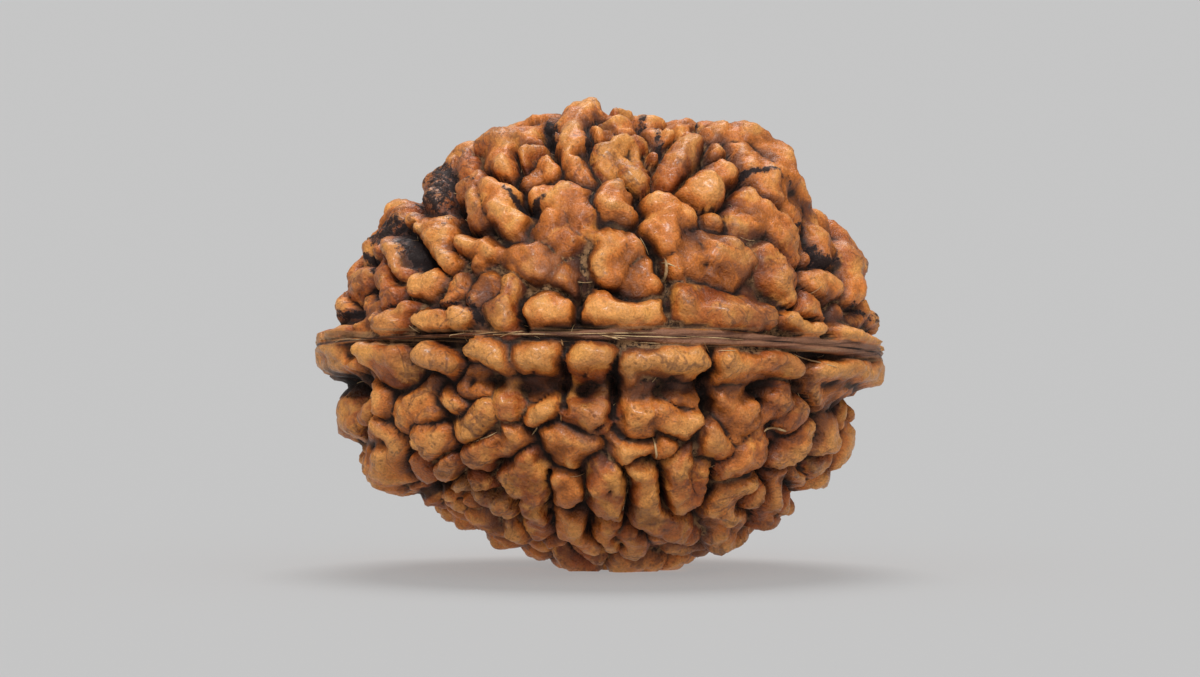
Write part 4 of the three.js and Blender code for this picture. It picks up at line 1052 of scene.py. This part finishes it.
fibres = {
    "paths": [  # [x, z] from the front, then the fibre's half width
        [[2.7, 3.75], [2.75, 2.9], 0.07], [[2.6, 3.6], [3.2, 3.2], 0.035],
        [[-1.4, 0.5], [-1.3, 0.25], 0.04], [[0.2, 0.65], [0.9, 0.5], 0.035], [[4, 0.4], [4.4, 0], 0.03],
        [[8, -0.05], [8.8, -0.55], 0.03], [[6.7, -3.15], [7.3, -3.1], [7.8, -3.2], 0.05],
        [[2.3, -3.5], [2.4, -4.4], 0.05], [[-4.1, -3.25], [-5.1, -3.7], 0.03],
        [[-2.45, -3.05], [-2.65, -3.35], 0.03], [[-1.45, -2.5], [-1.45, -2.8], 0.03],
        [[-3.7, 0.6], [-2.9, 0.85], 0.03],
    ],
    "points": 14,
    "sides": 5,
    "stand": 0.02,           # height over the skin
    "wobble": 0.05,
    "wobblePitch": 0.5,
    "tip": 0.35,             # how thin the ends are
    "pulls": 6,              # rounds of pulling taut over the skin
}
seamStrands = {
    "count": 40, "shortest": 0.5, "longer": 3.5, "drift": 0.3,
    "halfWidth": 0.01, "moreHalfWidth": 0.014, "seed": 11,
}
hairs = {
    "density": 0.35,         # hairs to the square millimetre, at most
    "apart": 0.4,
    "length": 0.8,
    "shortest": 0.35,        # as a share of the length
    "longest": 1.15,
    "halfWidth": 0.014,
    "sag": 0.12,
    "lean": 12,
    "deepest": 0.3,          # the cavity at which they end
    "steps": 6,
    "sides": 4,
    "seed": 5,
}


def seenPath(path):  # directions along a path seen from the front
    path = np.array(path)
    lengths = np.concatenate([[0], np.cumsum(np.linalg.norm(np.diff(path, axis=0), axis=1))])
    ticks = np.linspace(0, lengths[-1], fibres["points"])
    flat = np.stack([np.interp(ticks, lengths, path[:, k]) for k in (0, 1)], 1)
    return unit(np.array([placeSeen(x, z) for x, z in flat]))


def seamPaths():  # directions and half width of each strand along the seam
    draws = makeDraws(seamStrands["seed"])
    ahead = unit(np.cross([0, 1, 0], seamUp))
    aside = np.cross(seamUp, ahead)
    for _ in range(seamStrands["count"]):
        start = next(draws) * math.tau
        turn = (seamStrands["shortest"] + seamStrands["longer"] * next(draws) ** 2) / seedBody["halfDepth"]
        angles = start + turn * np.linspace(0, 1, fibres["points"])
        wide = ridgeHalfWidth(np.cos(angles) * seedBody["halfDepth"], np.sin(angles) < 0)
        offset = (next(draws) + next(draws) - 1) * 2
        drift = np.linspace(0, (next(draws) - 0.5) * seamStrands["drift"], fibres["points"])
        away = (wide * offset + drift) / seedBody["halfDepth"]
        ring = np.cos(angles)[:, None] * ahead + np.sin(angles)[:, None] * aside
        halfWidth = seamStrands["halfWidth"] + seamStrands["moreHalfWidth"] * next(draws)
        yield unit(ring + away[:, None] * seamUp), halfWidth


def layFibres(aims):  # pulls each fibre taut over the skin
    height, _ = surface(np.concatenate(aims), knobs)
    for aim, low in zip(aims, np.split(height, len(aims))):
        taut = low.copy()
        for _ in range(fibres["pulls"]):
            taut[1:-1] = np.maximum(low[1:-1], (taut[:-2] + taut[2:]) / 2)
        yield aim * (taut + fibres["stand"])[:, None] + seedCentre


def fibreTree():
    sizes = {"Wobble": fibres["wobble"] * mm, "Wobble pitch": fibres["wobblePitch"] * mm,
             "Tip": fibres["tip"], "Sides": fibres["sides"]}
    tree, g, ask = newTree("Straw fibres", sizes)
    curve = g.node("GeometryNodeMeshToCurve", None, {0: ask["Geometry"]})
    place = g.node("GeometryNodeInputPosition")
    stray = g.node("ShaderNodeTexNoise", None, {"Vector": place, "Scale": ask["Wobble pitch"] ** -1.0}, 1)
    move = g.scaled(g.vector("SUBTRACT", stray, (0.5, 0.5, 0.5)), ask["Wobble"])
    curve = g.node("GeometryNodeSetPosition", None, {0: curve, "Offset": move})
    along = g.node("GeometryNodeSplineParameter")
    taper = 1 - (along * 2 - 1) ** 2
    width = g.fact("halfWidth") * (ask["Tip"] + taper * (1 - ask["Tip"]))
    endTree(g, g.tube(curve, ask["Sides"], 1.0, width), straw)
    return tree, sizes


def hairTree():
    sizes = {"Density": hairs["density"] / mm ** 2, "Length": hairs["length"] * mm,
             "Half width": hairs["halfWidth"] * mm, "Sag": hairs["sag"] * mm,
             "Lean": math.radians(hairs["lean"]), "Deepest": hairs["deepest"], "Seed": hairs["seed"]}
    tree, g, ask = newTree("Groove hairs", sizes)
    share = g.range(g.fact("cavity"), 0.1, ask["Deepest"], 1, 0)
    spread = {"Mesh": ask["Geometry"], "Density Max": ask["Density"], "Density Factor": share,
              "Seed": ask["Seed"], "Distance Min": hairs["apart"] * mm}
    spots = g.node("GeometryNodeDistributePointsOnFaces", {"distribute_method": "POISSON"}, spread)
    turn = Wire(g, spots.socket.node.outputs["Rotation"])
    half = ask["Length"] * 0.5
    start = g.node("ShaderNodeCombineXYZ", None, {"X": half * -1.0, "Z": ask["Sag"] * 0.2})
    bend = g.node("ShaderNodeCombineXYZ", None, {"Y": ask["Sag"], "Z": ask["Sag"] * 0.9})
    end = g.node("ShaderNodeCombineXYZ", None, {"X": half, "Z": ask["Sag"] * 0.4})
    arc = {"Start": start, "Middle": bend, "End": end, "Resolution": hairs["steps"]}
    strand = g.node("GeometryNodeCurveQuadraticBezier", None, arc)
    tip = g.draw(ask["Lean"] * -1.0, ask["Lean"], 2)
    euler = g.node("ShaderNodeCombineXYZ", None, {"X": tip, "Z": g.draw(0.0, math.tau, ask["Seed"])})
    own = g.node("FunctionNodeEulerToRotation", None, {0: euler})
    turned = g.node("FunctionNodeRotateRotation", {"rotation_space": "LOCAL"}, {0: turn, 1: own})
    size = g.draw(hairs["shortest"], hairs["longest"], 4)
    placed = {"Points": spots, "Instance": g.tube(strand, hairs["sides"], ask["Half width"]),
              "Rotation": turned, "Scale": size}
    endTree(g, g.node("GeometryNodeInstanceOnPoints", None, placed), straw)
    return tree, sizes


def finishStraw(piece, tree, sizes):
    grow(piece, tree, sizes)
    plainMesh(piece)
    spots = keepInside(np.array([v.co for v in piece.data.vertices]) / mm)
    piece.data.vertices.foreach_set("co", (spots * mm).astype(np.float32).ravel())
    piece.data.update()
    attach(piece, "root")


def buildFibres():
    points, edges, widths = [], [], []
    strands = [(seenPath(path), width) for *path, width in fibres["paths"]] + list(seamPaths())
    for laid, (_, width) in zip(layFibres([aim for aim, _ in strands]), strands):
        edges += [(len(points) + k, len(points) + k + 1) for k in range(len(laid) - 1)]
        points += (laid * mm).tolist()
        widths += [width * mm] * len(laid)
    piece = addPiece("straw_fibres", points, edges=edges)
    piece.data.attributes.new("halfWidth", "FLOAT", "POINT").data.foreach_set("value", widths)
    finishStraw(piece, *fibreTree())
    return piece


def buildHairs():
    piece = addObject("groove_hairs", seed.data.copy())
    finishStraw(piece, *hairTree())
    return piece


laidFibres = buildFibres()
grooveHairs = buildHairs()
print("straw laid:", len(laidFibres.data.polygons), "faces, hairs:", len(grooveHairs.data.polygons), "faces")


# Floor, light and camera

room = {
    "floorSize": 8.0,
    "floorGrey": 0.37,
    "floorGlow": 0.308,
    "floorRoughness": 0.95,
    "floorSpecular": 0.1,
    "skyStrength": 0.3,
    "sky": (1.0, 1.0, 1.0, 1.0),
}
lights = [  # name, strength, softness in degrees, stand from the seed, and whether it lights the floor
    ["top", 1.3, 32, (0, 0.55, 1), True],
    ["left", 1.2, 8, (-0.14, -0.65, 0.78), False],
    ["right", 0.8, 20, (0.18, -0.7, 0.6), False],
]
view = {
    "distance": 0.6,
    "frameWidth": 1200 / 25 * mm,   # the photograph's 1200 pixels, at 25 to the millimetre
    "aimHeight": 9.21 * mm,
    "sensorWidth": 36,
    "nearest": 0.01,                # what lies between these distances is shown
    "farthest": 50,
}


def buildRoom():
    half = room["floorSize"] / 2
    corners = [(x * half, y * half, 0) for x, y in ((-1, -1), (1, -1), (1, 1), (-1, 1))]
    floor = addPiece("floor", corners, [(0, 1, 2, 3)])
    material, g = newMaterial("floor_paper")
    shade = (room["floorGrey"],) * 3 + (1.0,)
    values = {"Base Color": shade, "Roughness": room["floorRoughness"],
              "Specular IOR Level": room["floorSpecular"],
              "Emission Color": (1, 1, 1, 1), "Emission Strength": room["floorGlow"]}
    g.finishMaterial(values)
    floor.data.materials.append(material)

    world = bpy.data.worlds.new("studio")
    world.use_nodes = True
    sky = world.node_tree.nodes["Background"]
    sky.inputs["Color"].default_value = room["sky"]
    sky.inputs["Strength"].default_value = room["skyStrength"]
    bpy.context.scene.world = world


def buildLights():
    shown = bpy.data.collections.new("shown")
    for piece in (seed, laidFibres, grooveHairs):
        shown.objects.link(piece)
    for name, strength, softness, stand, lightsFloor in lights:
        lamp = bpy.data.lights.new(name, "SUN")
        lamp.energy = strength
        lamp.angle = math.radians(softness)
        holder = addObject(name, lamp)
        holder.rotation_euler = Vector(stand).to_track_quat("Z", "Y").to_euler()
        if not lightsFloor:
            holder.light_linking.receiver_collection = shown


def buildCamera():
    lens = bpy.data.cameras.new("camera")
    lens.sensor_width = view["sensorWidth"]
    lens.lens = lens.sensor_width * view["distance"] / view["frameWidth"]
    lens.clip_start = view["nearest"]
    lens.clip_end = view["farthest"]
    camera = addObject("camera", lens)
    tilt = math.radians(seedBody["viewTilt"])
    camera.location = Vector((0, -math.cos(tilt), math.sin(tilt))) * view["distance"]
    camera.location.z += view["aimHeight"]
    camera.rotation_euler = (math.pi / 2 - tilt, 0, 0)
    bpy.context.scene.camera = camera
    bpy.context.scene.view_settings.view_transform = "Standard"


buildRoom()
buildLights()
buildCamera()
print("room, lights and camera are set")
